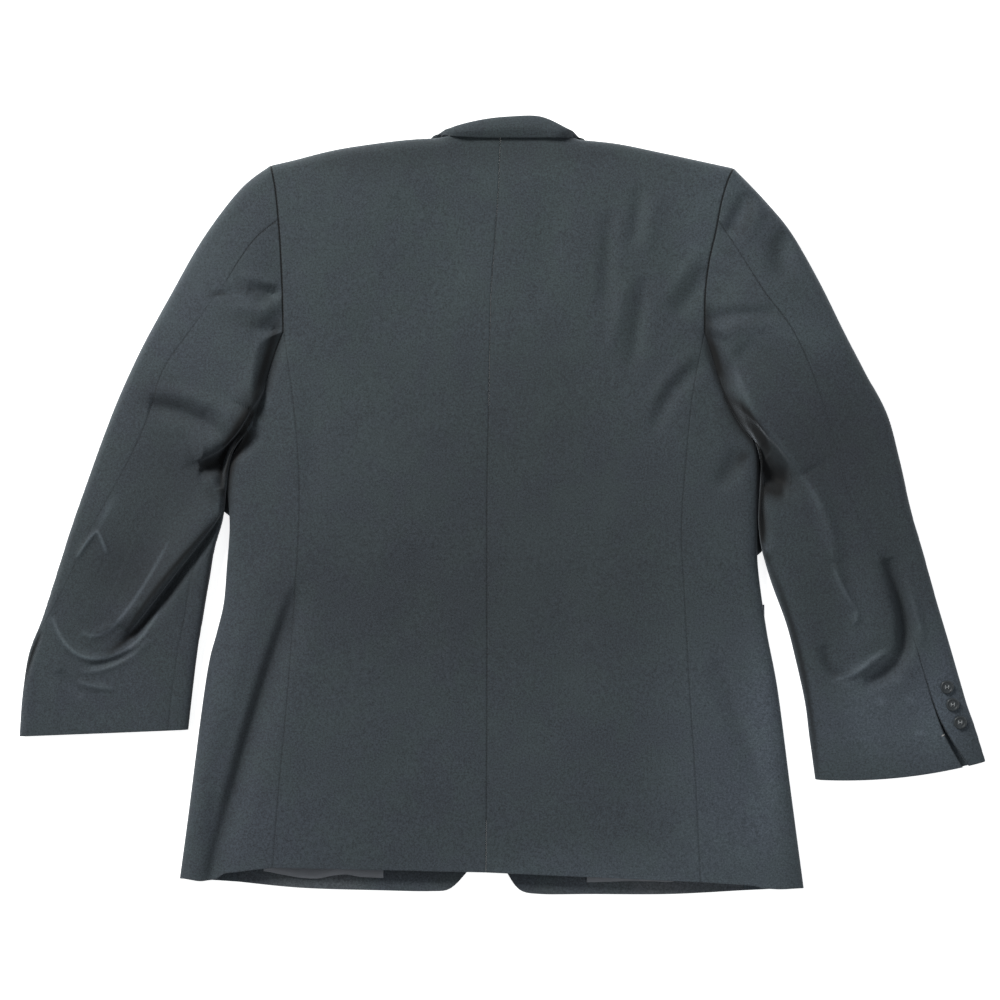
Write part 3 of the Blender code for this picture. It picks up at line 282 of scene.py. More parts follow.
MARKS = {
    # where the cloth is rubbed to a shine and lightened by a painted highlight or, below 0, darkened by
    # painted shade where it lies in deep shade: rows as above, with a strength
    "left": (
        (-352, -98, -372, -150, -412, -159, 1.5, 1.7, 0.9),
        (-412, -159, -452, -166, -467, -117, 1.5, 1.7, 1.3),
        (-437, -173, -402, -174, -366, -140, 1.5, 1.5, 0.5),
        (-441, -183, -425, -190, -405, -190, 1.6, 1.8, 0.7),
        (-441.7, -55, -432, -38, -420.5, -26, 1.4, 1.4, 1.3),
        (-420.5, -26, -414, -38, -410, -51, 1.4, 1.4, 1.2), (-420.5, -26, -412, -12, -404, 6, 2.4, 2.4, 0.3),
        (-346, -38, -380, -104, -410, -132, 1.6, 1.6, 1.0),
        (-410, -132, -428, -140, -437, -130, 1.6, 1.6, 0.8), (-400, 12, -408, -4, -420, -20, 4, 4, 0.35),
        (-262, 120, -262, 100, -280, 78, 9, 9, -0.35), (-232, 190, -250, 142, -256, 106, 4, 4, -0.7),
        (-231, 180, -241, 140, -256, 96, 8, 8, -0.5), (-258, 98, -270, 70, -292, 50, 5, 5, -0.9),
        (-260, 102, -272, 78, -290, 58, 5, 5, -0.8), (-266, 78, -285, 56, -290, 32, 6, 6, -1.1),
        (-290, 40, -291, 24, -291, 8, 4, 4, -0.9), (-287, 16, -287, 4, -291, -12, 2.5, 2.5, -0.8),
        (-316, 42, -300, 36, -286, 52, 10, 10, -0.9), (-306, 18, -302, 8, -296, 2, 6, 6, -0.25),
        (-291, -10, -352, -72, -391, -132, 2.2, 2.2, -0.85),
        (-331, -76, -372, -128, -410, -154, 2.4, 2.4, -0.7), (-300, -28, -350, -84, -388, -140, 7, 7, -0.14),
        (-380, -126, -392, -146, -412, -152, 6, 6, -0.22),
        (-479, -132, -489, -152, -499, -187, 2.4, 2.4, -0.85),
        (-300, -44, -312, -136, -327, -236, 4, 4, -0.8), (-441, -172, -430, -184, -422, -196, 6, 6, -0.16),
        (-366, 106, -323, 102, -284, 74, 8, 9, -0.18), (-306, 217, -296, 219, -284, 219, 2, 2, -0.5),
        (-276, 228, -254, 222, -237, 208, 5, 6, -0.25), (-294, 196, -268, 192, -240, 194, 9, 8, -0.16),
        (-274, 188, -254, 187, -235, 187, 2.5, 2.5, -0.2)),
    "right": (
        (320, 14, 336, -10, 344, -54, 4, 5, 0.3), (344, -66, 350, -86, 366, -107, 1.6, 1.6, 0.9),
        (366, -107, 369, -114, 366, -122, 1.6, 1.6, 0.8), (422, -92, 432, -112, 436, -134, 1.6, 1.8, 0.5),
        (348, -181, 366, -178, 380, -163, 1.6, 1.6, 1.0), (380, -163, 388, -155, 400, -151, 2, 2, 0.5),
        (388, -203, 393, -205, 398, -204, 5, 4, 0.7), (428, -237, 434, -238, 438, -236, 3, 3, 0.7),
        (420, -199, 424, -202, 428, -204, 4, 4, 0.5), (410, -186, 412, -182, 414, -178, 4, 4, 0.4),
        (243, 138, 248, 116, 266, 86, 3, 4, 0.55), (266, 86, 290, 62, 309, 32, 3, 4, 0.5),
        (309, 32, 322, 14, 330, -4, 2.5, 3, 0.4), (210, 210, 212, 172, 224, 132, 6, 6, -0.75),
        (215, 170, 222, 146, 234, 122, 8, 7, -0.7), (226, 126, 244, 92, 274, 52, 6, 6, -0.9),
        (244, 108, 262, 78, 292, 48, 7, 7, -0.4), (236, 108, 252, 92, 272, 68, 5.5, 5.5, -0.9),
        (244, 98, 256, 74, 272, 50, 8, 8, -1.4), (266, 46, 282, 27, 300, 28, 14, 15, -1.15),
        (274, 24, 284, 12, 292, 13, 9, 9, -0.8), (268, 54, 269, 14, 267, -2, 6, 5, -1.1),
        (267, 0, 272, -22, 266, -46, 6, 5, -1.2), (266, -46, 272, -52, 280, -58, 5, 5, -0.45),
        (399, -62, 431, -126, 416, -160, 6, 6, -0.45), (416, -158, 404, -178, 378, -186, 6, 6, -0.3),
        (335, -148, 341, -184, 360, -179, 5, 5, -0.3), (356, -160, 376, -150, 396, -142, 8, 8, -0.14),
        (274, -52, 321, -157, 328, -286, 3, 4, -0.75), (276, 170, 262, 154, 250, 138, 22, 3, -0.16),
        (274, 172, 298, 170, 322, 160, 3, 28, -0.14), (258, 320, 256, 300, 250, 280, 5, 5, -0.28),
        (234, 290, 242, 288, 252, 284, 4, 4, -0.25), (222, 264, 231, 264, 241, 258, 3.5, 3.5, -0.22),
        (217, 244, 227, 244, 237, 238, 3.5, 3.5, -0.22), (214, 224, 222, 225, 231, 220, 3.5, 3.5, -0.22),
        (290, 288, 274, 262, 290, 236, 9, 8, -0.26), (290, 244, 300, 232, 309, 220, 10, 10, -0.12),
        (235, 181, 252, 193, 294, 198, 4, 4, -0.2)),
    "body": (
        (-287, -8, -292, 46, -264, 78, 6, 6, -1.3), (-262, 128, -262, 104, -250, 90, 7, 7, -0.7),
        (-286, 56, -268, 58, -262, 80, 9, 9, -0.6), (-219, -88, -268, -222, -309, -392, 10, 5, -0.42),
        (221, -160, 240, -220, 277, -312, 7, 9, -0.14), (257, 58, 246, 46, 228, 24, 7, 7, -0.3),
        (254, 54, 250, 50, 244, 44, 5, 5, -0.4), (-231, 176, -240, 136, -248, 110, 6, 6, -0.5),
        (210, 180, 218, 138, 236, 106, 3.5, 3.5, -0.7), (232, 116, 247, 86, 269, 56, 9, 5, -1.5),
        (226, 104, 238, 86, 250, 72, 8, 8, -0.25), (267, 62, 269, 20, 267, -52, 5.5, 3.6, -1.4),
        (108, 304, 106, 252, 103, 205, 7, 7, -0.10), (143, 236, 137, 194, 130, 142, 7, 7, -0.10),
        (206, 252, 194, 224, 174, 206, 8, 8, -0.12),
        (202, 154, 168, 132, 154, 86, 8, 7, -0.13))}
TONES = (
    # broad lighter and darker patches, partly the cloth's own uneven tone and partly painted light and shade,
    # and a cooler or greener hue: x, y, reach across, reach along, lightness, coolness
    (-10, 60, 130, 110, -0.18, 0.0), (10, 260, 190, 90, 0.06, -0.35), (-40, -100, 185, 90, -0.24, 0.1),
    (-60, 372, 290, 22, -0.20, -0.2), (-145, 352, 80, 18, -0.14, 0.0), (-340, 40, 70, 60, -0.28, 0.2),
    (-355, 115, 26, 20, -0.22, 0.2), (-418, -60, 55, 60, -0.28, 0.2), (-335, -50, 50, 50, -0.22, 0.2),
    (-376, -84, 32, 38, -0.20, 0.2), (-408, -136, 45, 28, -0.16, 0.2), (-450, -200, 60, 40, -0.03, 0.6),
    (-330, 230, 70, 90, 0.04, 0.6), (310, 60, 55, 80, -0.20, 0.3), (370, 70, 50, 70, -0.24, 0.3),
    (355, -90, 60, 70, -0.18, 0.1), (405, -30, 40, 70, -0.14, 0.1), (372, -130, 20, 80, 0.32, 0.1),
    (400, -225, 85, 50, 0.60, 0.6), (454, -195, 24, 75, 0.45, 0.4), (285, 262, 60, 60, 0.14, 0.2),
    (312, 176, 60, 24, 0.28, 0.0), (205, 285, 28, 60, 0.30, 0.0), (240, 332, 26, 26, 0.30, 0.0),
    (225, -240, 60, 110, 0.36, 0.5), (275, -235, 24, 140, 0.50, 0.4), (245, -350, 70, 60, 0.30, 0.5),
    (-290, -180, 40, 160, 0.12, 0.6), (-10, -300, 160, 60, -0.03, 0.2), (-190, -60, 60, 70, -0.08, 0.3),
    (150, -60, 60, 80, -0.10, -0.2), (-250, -350, 70, 50, 0.14, 0.6), (-150, 120, 60, 60, 0.0, -0.3),
    (60, 120, 40, 60, -0.08, -0.3), (90, -378, 120, 22, 0.30, 0.2), (-150, -396, 120, 12, 0.45, 0.2),
    (150, -400, 120, 12, 0.45, 0.2))


# ---------------------------------------------------------------- lines and patches

FOLD_STEPS = 12           # straight steps along a fold's course
FOLD_REACH = 2.8          # how many widths away a fold still counts
FOLD_ENDS = 0.15          # share of its height that a fold keeps at its ends


def smooth(t):
    """A soft step from 0 to 1."""
    t = np.clip(t, 0.0, 1.0)
    return t * t * (3 - 2 * t)


def roll(d):
    """Height of a rolled edge at d, its distance from the edge as a share of the roll's depth."""
    return np.sqrt(np.maximum(0.0, 1 - (1 - np.clip(d, 0, 1)) ** 2))


def hump(distance, width):
    """A soft bump, 1 high, that dies away over its width."""
    return np.exp(-(distance / width) ** 2)


def spline(a, b, c, d, f):
    """A smooth curve through four points, read from b (f = 0) to c (f = 1)."""
    return 0.5 * (2 * b + (c - a) * f + (2 * a - 5 * b + 4 * c - d) * f ** 2
                  + (3 * b - 3 * c + d - a) * f ** 3)


def lifted(plan, height):
    """Points from their plan and their height."""
    return np.concatenate((plan, height[..., None]), -1)


def rows_at(table, index):
    """Read a table between its rows with a smooth curve through them."""
    table = np.asarray(table, float)
    last = len(table) - 1
    index = np.clip(index, 0, last)
    low = np.minimum(index.astype(int), last - 1)
    f = (index - low)[..., None]
    a, b = table[np.maximum(low - 1, 0)], table[low]
    c, d = table[low + 1], table[np.minimum(low + 2, last)]
    return spline(a, b, c, d, f)


def line_at(points, t):
    """A smooth line through points, read by its length from 0 to 1."""
    points = np.asarray(points, float)
    lengths = np.linalg.norm(np.diff(points, axis=0), axis=1)
    knots = np.concatenate(([0.0], np.cumsum(lengths))) / lengths.sum()
    return rows_at(points, np.interp(t, knots, np.arange(len(points))))


def line(points):
    """The smooth line through points as a function."""
    return lambda t: line_at(points, t)


def two_lines(low, high, share):
    """Two lines end to end as a function: low up to share, high above it."""
    def read(t):
        below = line_at(low, np.clip(t / share, 0, 1))
        above = line_at(high, np.clip((t - share) / (1 - share), 0, 1))
        return np.where((t <= share)[..., None], below, above)
    return read


def between(first, second, level):
    """The straight line between two lines at one level, as a function."""
    def read(t):
        start, end = first(np.full_like(t, level)), second(np.full_like(t, level))
        return start + (end - start) * t[..., None]
    return read


def patch(left, right, bottom, top, u, v):
    """A point inside four border lines, u across from left to right and v from bottom to top."""
    u1, v1 = u[..., None], v[..., None]
    zero, one = np.zeros_like(u), np.ones_like(u)
    ruled = (1 - u1) * left(v) + u1 * right(v) + (1 - v1) * bottom(u) + v1 * top(u)
    corners = ((1 - u1) * (1 - v1) * left(zero) + u1 * (1 - v1) * right(zero)
               + (1 - u1) * v1 * left(one) + u1 * v1 * right(one))
    return ruled - corners


def fold_form(plan, folds):
    """Height of the folds at plan points, and how far their crests lean aside."""
    flat = plan.reshape(-1, 2)
    height, shift = np.zeros(len(flat)), np.zeros((len(flat), 2))
    t = np.linspace(0, 1, FOLD_STEPS + 1)[:, None]
    for x0, y0, xm, ym, x1, y1, left, right, rise, *lean in folds:
        course = ((1 - t) ** 2 * np.array((x0, y0)) + 2 * t * (1 - t) * np.array((xm, ym))
                  + t ** 2 * np.array((x1, y1)))
        reach = FOLD_REACH * max(left, right)
        near = ((flat > course.min(0) - reach) & (flat < course.max(0) + reach)).all(1)
        a, step = course[:-1], np.diff(course, axis=0)
        offset = flat[near][:, None, :] - a
        along = np.clip((offset * step).sum(-1) / (step ** 2).sum(-1), 0, 1)
        distance = np.linalg.norm(offset - along[..., None] * step, axis=-1)
        nearest = distance.argmin(-1)
        row = np.arange(len(nearest))
        course_way = step[nearest]
        start, away = offset[row, nearest], distance[row, nearest]
        side = course_way[:, 0] * start[:, 1] - course_way[:, 1] * start[:, 0]
        side = side / (np.linalg.norm(course_way, axis=-1) * away + 1e-9)
        width = right + (left - right) * smooth(0.5 + 0.5 * side)
        share = (nearest + along[row, nearest]) / len(a)
        ends = FOLD_ENDS + (1 - FOLD_ENDS) * np.sqrt(np.clip(4 * share * (1 - share), 0, 1))
        form = ends * hump(away, width)
        height[near] += rise * form
        leftward = np.stack((-course_way[:, 1], course_way[:, 0]), -1)
        leftward = leftward / np.linalg.norm(leftward, axis=-1)[:, None]
        shift[near] += sum(lean) * form[:, None] * leftward
    return height.reshape(plan.shape[:-1]), shift.reshape(plan.shape)


def tones(plan):
    """Lightness, partly the cloth's own uneven tone and partly painted light and shade, and coolness of the
    cloth at plan points, both about 0.
    """
    x, y, wide, long, light, cool = np.array(TONES).T
    near = np.exp(-((plan[..., :1] - x) / wide) ** 2 - ((plan[..., 1:] - y) / long) ** 2)
    return (near * light).sum(-1), (near * cool).sum(-1)


def drape(plan):
    """Slight long waves, so that no cloth lies dead flat."""
    x, y = plan[..., 0], plan[..., 1]
    return (0.20 * np.sin(x / 31 + 1.7 * np.sin(y / 83)) + 0.16 * np.sin(y / 57 + x / 140 + 1.3)
            + 0.12 * np.sin((x + y) / 23 + 2 * np.sin(x / 61))
            + 0.08 * np.sin((x - 1.4 * y) / 15 + 1.5 * np.sin(y / 37)))


def bed_height(plan, *names):
    """How far cloth is lifted by the pieces beneath it."""
    lift = np.zeros(plan.shape[:-1])
    for x0, y0, x1, y1, reach, rise, ramp in (BEDS[name] for name in names):
        start, step = np.array((x0, y0)), np.array((x1 - x0, y1 - y0))
        offset = plan - start
        along = np.clip((offset * step).sum(-1) / (step @ step), 0, 1)
        outside = np.linalg.norm(offset - along[..., None] * step, axis=-1) - reach
        lift = np.maximum(lift, rise * (1 - smooth(outside / ramp)))
    return lift


# ---------------------------------------------------------------- surfaces of the body

def body_height(plan):
    """Outer height of the upper cloth, its folds aside."""
    table = np.asarray(BODY_HEIGHT, float)
    height = np.interp(plan[..., 1], table[:, 0], table[:, 1])
    for x, y, radius, rise in PADS:
        height = height + rise * np.exp(-((plan[..., 0] - x) ** 2 + (plan[..., 1] - y) ** 2) / radius ** 2)
    return height


def upper_height(plan):
    """Outer height of the upper cloth with its folds."""
    return body_height(plan) + fold_form(plan, BODY_FOLDS)[0] + drape(plan)


def left_front_floor(plan):
    """Outer height of the left front's cloth, over its lapel, its flap, the collar and the buttons."""
    return bed_height(plan, "lapel_left", "flap_left", "collar_left", "front_buttons")


def on_left_front(plan):
    """1 over the left front's edge, easing to 0 beyond it and towards the neck."""
    edge = line_at(FRONT_EDGE["left"], np.linspace(0, 1, 60))
    reach = np.interp(plan[..., 1], edge[:, 1], edge[:, 0])
    margin, ramp = LEFT_OVERLAP
    beyond = smooth((plan[..., 0] - reach - margin) / ramp)
    top, fade = OVERLAP_TOP
    return (1 - beyond) * (1 - smooth((plan[..., 1] - top) / fade))


def right_lapel_floor(plan):
    """Outer height of the right lapel, which lies on the left front."""
    return (left_front_floor(plan) + OVERLAP_STEP) * on_left_front(plan)


def front_floor(side, plan):
    """Outer height of a front's cloth, above the surface that the coat lies on."""
    if side == "left":
        return left_front_floor(plan)
    lift = bed_height(plan, "flap_right", "collar_right")
    return np.maximum(lift, right_lapel_floor(plan) + bed_height(plan, "lapel_right"))


def back_surface(side, u, v):
    """A back half: u from its side seam to the centre seam, v from the hem to the shoulder."""
    outer = two_lines(SIDE_BACK[side], ARMHOLE_BACK[side], ARM_FRACTION)
    centre = line(CENTRE_BACK)
    top = two_lines(SHOULDER[side], NECK_BACK[side], SHOULDER_SHARE)

    def hem(t):
        return outer(np.zeros_like(t)) * (1 - t[..., None]) + centre(np.zeros_like(t)) * t[..., None]

    inset = SEAM_GAP / 2 / BACK_WIDTH
    plan = patch(outer, centre, hem, top, inset + u * (1 - 2 * inset), v)
    height = upper_height(plan)
    turn = roll((1 - v) / (1 - ARM_FRACTION) / SHOULDER_ROLL)
    turn = turn + (1 - turn) * smooth((u - SHOULDER_SHARE) / SHOULDER_TURN_END)
    middle = body_height(plan) / 2 + SEAM_GAP / 2
    return lifted(plan, middle + (height - middle) * turn)


def side_surface(side, q, v):
    """A side piece: q from the back seam (0) round the rolled edge (1) to the front seam (2)."""
    edge, back, front = line(SIDE_EDGE[side]), line(SIDE_BACK[side]), line(SIDE_FRONT[side])
    inset = SEAM_GAP / 2 / SIDE_WIDTH
    upper = patch(back, edge, between(back, edge, 0.0), line(UNDERARM[side]),
                  np.clip(inset + q * (1 - inset), 0, 1), v)
    sag = HEM_SAG[side] * smooth((q - 0.5) / 0.14) * (1 - smooth((q - 0.72) / 0.28)) * (1 - smooth(v / 0.06))
    upper = upper - sag[..., None] * np.array((0.0, 1.0))
    lower = patch(front, edge, between(front, edge, 0.0), between(front, edge, 1.0),
                  np.clip((2 - q) * (1 - inset) + inset, 0, 1), v)
    near = smooth((q - 1) / 0.05) * (1 - smooth((q - 1.05) / 0.25)) * smooth((1 - v) / 0.03)
    tuck = TUCK_REACH * near * smooth((lower[..., 1] - TUCK[side]) / TUCK_RAMP) * -SIGN[side]
    lower = lower + tuck[..., None] * np.array((1.0, 0.0))
    plan = np.where((q <= 1)[..., None], upper, lower)
    height = upper_height(plan)
    floor = bed_height(plan, "flap_" + side)
    middle = (body_height(plan) + floor) / 2
    top = middle + (height - middle) * roll((1 - q) / SIDE_ROLL_TOP)
    low = middle - (middle - floor) * roll((q - 1) / SIDE_ROLL_LOW)
    return lifted(plan, np.where(q <= 1, top, low))


def front_surface(side, u, v):
    """A front: u from its side seam to its front edge, v from the hem to the shoulder."""
    outer = two_lines(SIDE_FRONT[side], ARMHOLE_FRONT[side], ARM_FRACTION)
    inset = SEAM_GAP / 2 / BACK_WIDTH
    plan = patch(outer, line(FRONT_EDGE[side]), line(FRONT_HEM[side]), line(SHOULDER[side]),
                 inset + u * (1 - inset), v)
    floor = front_floor(side, plan)
    turn = roll((1 - v) / (1 - ARM_FRACTION) / FRONT_SHOULDER_ROLL)
    middle = body_height(plan) / 2 - SEAM_GAP / 2
    return lifted(plan, middle + (floor - middle) * turn)


# ---------------------------------------------------------------- surfaces of the sleeve

def ring_place(w):
    """Place round a sleeve's ring: share across it, and whether it is on the upper side."""
    w = np.mod(w, 1.0)
    return np.where(w <= 0.5, 2 * w, 2 - 2 * w), w <= 0.5


def body_point(surface, side, a, b):
    """Point of a body piece, for the sleeve that meets it."""
    return surface(side, a, b)


def body_normal(surface, side, a, b, step=1e-4):
    """Unit normal of a body piece, for the sleeve that meets it."""
    b0, b1 = np.clip(b - step, 0, 1), np.clip(b + step, 0, 1)
    cross = np.cross(surface(side, a + step, b) - surface(side, a - step, b),
                     surface(side, a, b1) - surface(side, a, b0))
    return cross / np.linalg.norm(cross, axis=-1)[..., None]


def armhole_loop(side, w, read=body_point):
    """Round the armhole: what read makes of the body's surfaces, its points unless told otherwise."""
    s, upper = ring_place(w)
    one = np.ones_like(s)
    on_back = read(back_surface, side, 0 * s, 1 - (1 - ARM_FRACTION) * np.clip(s / SLEEVE_SIDE_TOP, 0, 1))
    on_side = read(side_surface, side, np.clip((s - SLEEVE_SIDE_TOP) / (1 - SLEEVE_SIDE_TOP), 0, 1), one)
    below_side = read(side_surface, side, 1 + np.clip((1 - s) / (1 - SLEEVE_SIDE_LOW), 0, 1), one)
    on_front = read(front_surface, side, 0 * s, 1 - (1 - ARM_FRACTION) * np.clip(s / SLEEVE_SIDE_LOW, 0, 1))
    top = np.where((s <= SLEEVE_SIDE_TOP)[..., None], on_back, on_side)
    low = np.where((s < SLEEVE_SIDE_LOW)[..., None], on_front, below_side)
    return np.where(upper[..., None], top, low)


def tube(side, w, v):
    """The free sleeve: a flattened tube whose sections come from the table, with its folds."""
    table = np.asarray(SLEEVE_SECTIONS[side], float)
    row = rows_at(table, v * (len(table) - 1))
    s, upper = ring_place(w)
    outer, inner, height, bow = row[..., 0:2], row[..., 2:4], row[..., 4], row[..., 5]
    chord = inner - outer
    toward_cuff = np.stack((chord[..., 1], -chord[..., 0]), -1) / np.linalg.norm(chord, axis=-1)[..., None]
    if side == "left":
        toward_cuff = -toward_cuff
    plan = outer + chord * s[..., None] - toward_cuff * (bow * 4 * s * (1 - s))[..., None]
    edge = roll(np.minimum(s, 1 - s) / SLEEVE_ROLL)
    dome = np.sqrt(np.maximum(0, 1 - (2 * s - 1) ** 2))
    inside = smooth(np.minimum(s, 1 - s) / SLEEVE_ROLL)
    folds, lean = fold_form(plan, SLEEVE_FOLDS[side])
    top = (height / 2 * (1 + edge * (1 - SLEEVE_CROWN) + dome * SLEEVE_CROWN)
           + (folds + drape(plan) * SLEEVE_DRAPE) * inside)
    floor = bed_height(plan, "cuff_buttons")
    top = np.maximum(top, floor + SLEEVE_LEAST)
    low = height / 2 - (height / 2 - floor) * edge
    plan = plan + lean * (inside * upper)[..., None]
    return lifted(plan, np.where(upper, top, low))


def sleeve_surface(side, w, v):
    """The sleeve from the armhole (v = 0) to the cuff (v = 1)."""
    body = armhole_loop(side, w)
    away = np.array((-SIGN[side], SLEEVE_AWAY, 0)) * ARMHOLE_GAP
    change = body + away - tube(side, w, 0 * v)
    reach = np.where(ring_place(w)[1], BOW_REACH, LOW_BOW_REACH)
    near = (np.clip(1 - v / reach, 0, 1) ** 2)[..., None] * np.array((1, 1, 0))
    seam = (1 - smooth(v / SEAM_REACH))[..., None] * np.array((0, 0, 1))
    return tube(side, w, v) + change * (near + seam)


def crowd(w):
    """Place round the ring stretched at the sleeve's two edges, where columns lie closer."""
    amount, width = EDGE_CROWDING
    return w + sum(amount * np.tanh((w - tip) / width) for tip in (-0.5, 0.0, 0.5, 1.0, 1.5))


def seam_room(w):
    """Half the gap at a sleeve seam, wider where the seam crosses one of the sleeve's edges."""
    return SEAM_SHARE * (1 + 3 * sum(hump(w - tip, SEAM_CROSSING) for tip in (0.0, 0.5, 1.0)))


def sleeve_ring(side, name, c, v):
    """Place round the ring of a point of one sleeve piece, c across the piece and v down it."""
    table = np.asarray(SLEEVE_SECTIONS[side], float)
    seams = rows_at(table, v * (len(table) - 1))
    first, second, lap = {"under": (6, 7, 0.0), "top": (7, 6, 1.0)}[name]
    low, high = seams[..., first], seams[..., second] + lap
    start, width = VENT[side]
    vent = width * smooth((v - start) / (1 - start)) ** 2
    low_room = seam_room(low) + (vent if name == "under" else 0)
    high_room = seam_room(high) + (vent if name == "top" else 0)
    places = np.linspace(-0.3, 1.4, 3401)
    low, high = crowd(low + low_room), crowd(high - high_room)
    return np.interp(low + (high - low) * c, crowd(places), places)


# ---------------------------------------------------------------- cloth shells

BORDER_STEPS = (0.35, 0.8, 1.4, 2.2, 3.4, 5.0)   # millimetres from a border where its rows or columns lie
ROLL_STEPS = 11           # steps over a rolled edge
EDGE_ROUNDNESS = 0.92
ARMHOLE_EASE = 5          # millimetres over which a sleeve's edge turns to face as the body does
PRESS_WIDTH = 1.0         # millimetres from a seam: pressed in, dark, puckered from and to
SEAM_WIDTH = 0.8
PUCKER_START = 1.2
PUCKER_WIDTH = 4.0
PUCKER_HEIGHT = 0.10
PUCKER_DRIFT = 37         # millimetres over which the puckers shift along the seam
BACK_PRESS = 0.3          # share of the seam's press that shows on the wall's other side
WEAR_AND_LIGHT_RANGE = (-0.95, 1.3)    # darkest painted shade, and strongest rub with its painted highlight
SHADE_INSIDE = (0.35, 1.6)   # a layer's other side has its painted shade less by this much, then this many times
INSIDE_LEVEL = 0.15       # the wall's inner side stays this high above the surface


def unit(vectors):
    """Vectors of length 1."""
    return vectors / np.maximum(np.linalg.norm(vectors, axis=-1), 1e-12)[..., None]


def grid_normals(points):
    """Unit normals of a grid of points, by its neighbours."""
    return unit(np.cross(np.gradient(points, axis=1), np.gradient(points, axis=0)))


def edge_distances(points):
    """Distance along the cloth of each point from the first and last column, and first and last row."""
    across = np.linalg.norm(np.diff(points, axis=1), axis=-1)
    along = np.linalg.norm(np.diff(points, axis=0), axis=-1)
    across = np.pad(np.cumsum(across, 1), ((0, 0), (1, 0)))
    along = np.pad(np.cumsum(along, 0), ((1, 0), (0, 0)))
    return across, across[:, -1:] - across, along, along[-1:] - along


def steps(count, length):
    """Places from 0 to 1 that lie closer at both borders of a piece of that length in millimetres."""
    close = np.array(BORDER_STEPS) / length
    even = np.linspace(0, 1, count)
    even = even[(even > close[-1] * 1.4) & (even < 1 - close[-1] * 1.4)]
    return np.concatenate(([0.0], close, even, 1 - close[::-1], [1.0]))


def body_steps(count, roll_share):
    """Rows of a piece from the hem to the shoulder, closer at the hem and over the shoulder's turn."""
    turn = (1 - ARM_FRACTION) * roll_share
    low = steps(count, 760)
    bend = 1 - turn * (1 - np.cos(np.linspace(0, math.pi / 2, ROLL_STEPS + 1)))
    return np.concatenate((low[low < 1 - turn * 1.12], bend[::-1]))


def ring_steps():
    """Columns of a side piece from the back seam round the rolled edge to the front seam."""
    bend = 1 - np.cos(np.linspace(0, math.pi / 2, ROLL_STEPS))
    upper = steps(34, 75)
    lower = steps(30, 60)
    upper = upper[upper < 1 - SIDE_ROLL_TOP * 1.15]
    lower = lower[lower < 1 - SIDE_ROLL_LOW * 1.15]
    return np.concatenate((upper, (1 - SIDE_ROLL_TOP * bend)[::-1], (1 + SIDE_ROLL_LOW * bend)[1:],
                           (2 - lower)[::-1]))


def shell(name, points, inward, thickness, borders, material, worn=(), first_row=None):
    """A cloth piece on a grid of points in millimetres.

    inward is the sign of the side its thickness lies on. borders says what the first column, the last
    column, the first row and the last row are: "turned" is a rounded edge, and numbers are a seam that
    sinks in, one number for all of it or pairs of a share along it and its strength there. The marks
    hold rows of MARKS, above 0 rubbed creases with a painted highlight and below 0 painted shade, and
    first_row the way that the first row faces.
    """
    sizes = bpy.context.scene.coat_sizes
    normals = grid_normals(points) * inward
    if first_row is not None:
        facing = np.sign((first_row * normals[1]).sum(-1))[:, None]
        depth = edge_distances(points)[2][..., None]
        normals = unit(normals + (first_row * facing - normals) * (1 - smooth(depth / ARMHOLE_EASE)))
    distances = edge_distances(points)
    press, seam, turn = np.zeros((3, *points.shape[:2]))
    half = thickness / 2
    for border, distance, along in zip(borders, distances, (2, 2, 0, 0)):
        if border == "turned":
            bend = half * (1 - np.sqrt(1 - (1 - np.clip(distance / half, 0, 1)) ** 2))
            turn = np.maximum(turn, bend * EDGE_ROUNDNESS)
            continue
        run = distances[along]
        table = np.array(border if isinstance(border, tuple) else ((0, border), (1, border)), float)
        strength = np.interp(run / run.max(), table[:, 0], table[:, 1])
        pucker = np.sin(run / (sizes.pucker / MM) * math.tau + 1.3 * np.sin(run / PUCKER_DRIFT))
        press += sizes.press / MM * (0.3 + 0.7 * strength) * hump(distance, PRESS_WIDTH)
        press += (PUCKER_HEIGHT * pucker * hump(distance, PUCKER_WIDTH)
                  * (1 - hump(distance, PUCKER_START)))
        seam = np.maximum(seam, strength * hump(distance, SEAM_WIDTH))
    outer = points + normals * (press + turn)[..., None]
    inner = points + normals * (thickness + press * BACK_PRESS - turn)[..., None]
    plan = points[..., :2]
    # painted light from MARKS: above 0 rubbed creases, partly real wear and partly a painted highlight; below
    # 0 painted shade in hollows and under overhanging folds
    darkest, lightest = WEAR_AND_LIGHT_RANGE
    less, times = SHADE_INSIDE
    rub_and_painted_light = np.clip(fold_form(plan, worn)[0], darkest, lightest)
    # only the deepest painted shade also goes on the layer's other side
    deepest = np.clip((rub_and_painted_light + less) * times, darkest, 0)
    rub_and_painted_light = rub_and_painted_light * np.clip(1.5 - normals[..., 2] * 4, 0, 1)      # not on the outer side of what faces down
    rub_and_painted_light = np.stack((rub_and_painted_light, np.where(deepest < 0, np.minimum(rub_and_painted_light, deepest), rub_and_painted_light)))
    outer[..., 2] = np.maximum(outer[..., 2], 0.0)
    inner[..., 2] = np.maximum(inner[..., 2], INSIDE_LEVEL)
    # tone holds painted light and shade along with the cloth's own uneven tone
    tone, cool = tones(plan)
    piece = grid_piece(name, outer, inner, material, distances,
                       {"seam": seam, "worn": rub_and_painted_light, "tone": tone, "cool": cool})
    cells = np.cross(points[1:, 1:] - points[:-1, :-1], points[1:, :-1] - points[:-1, 1:])
    width, length = distances[0][:, -1].max(), distances[2][-1].max()
    area = (np.linalg.norm(cells, axis=-1) / 2).sum()
    return piece, (width * MM, length * MM), area * MM * MM


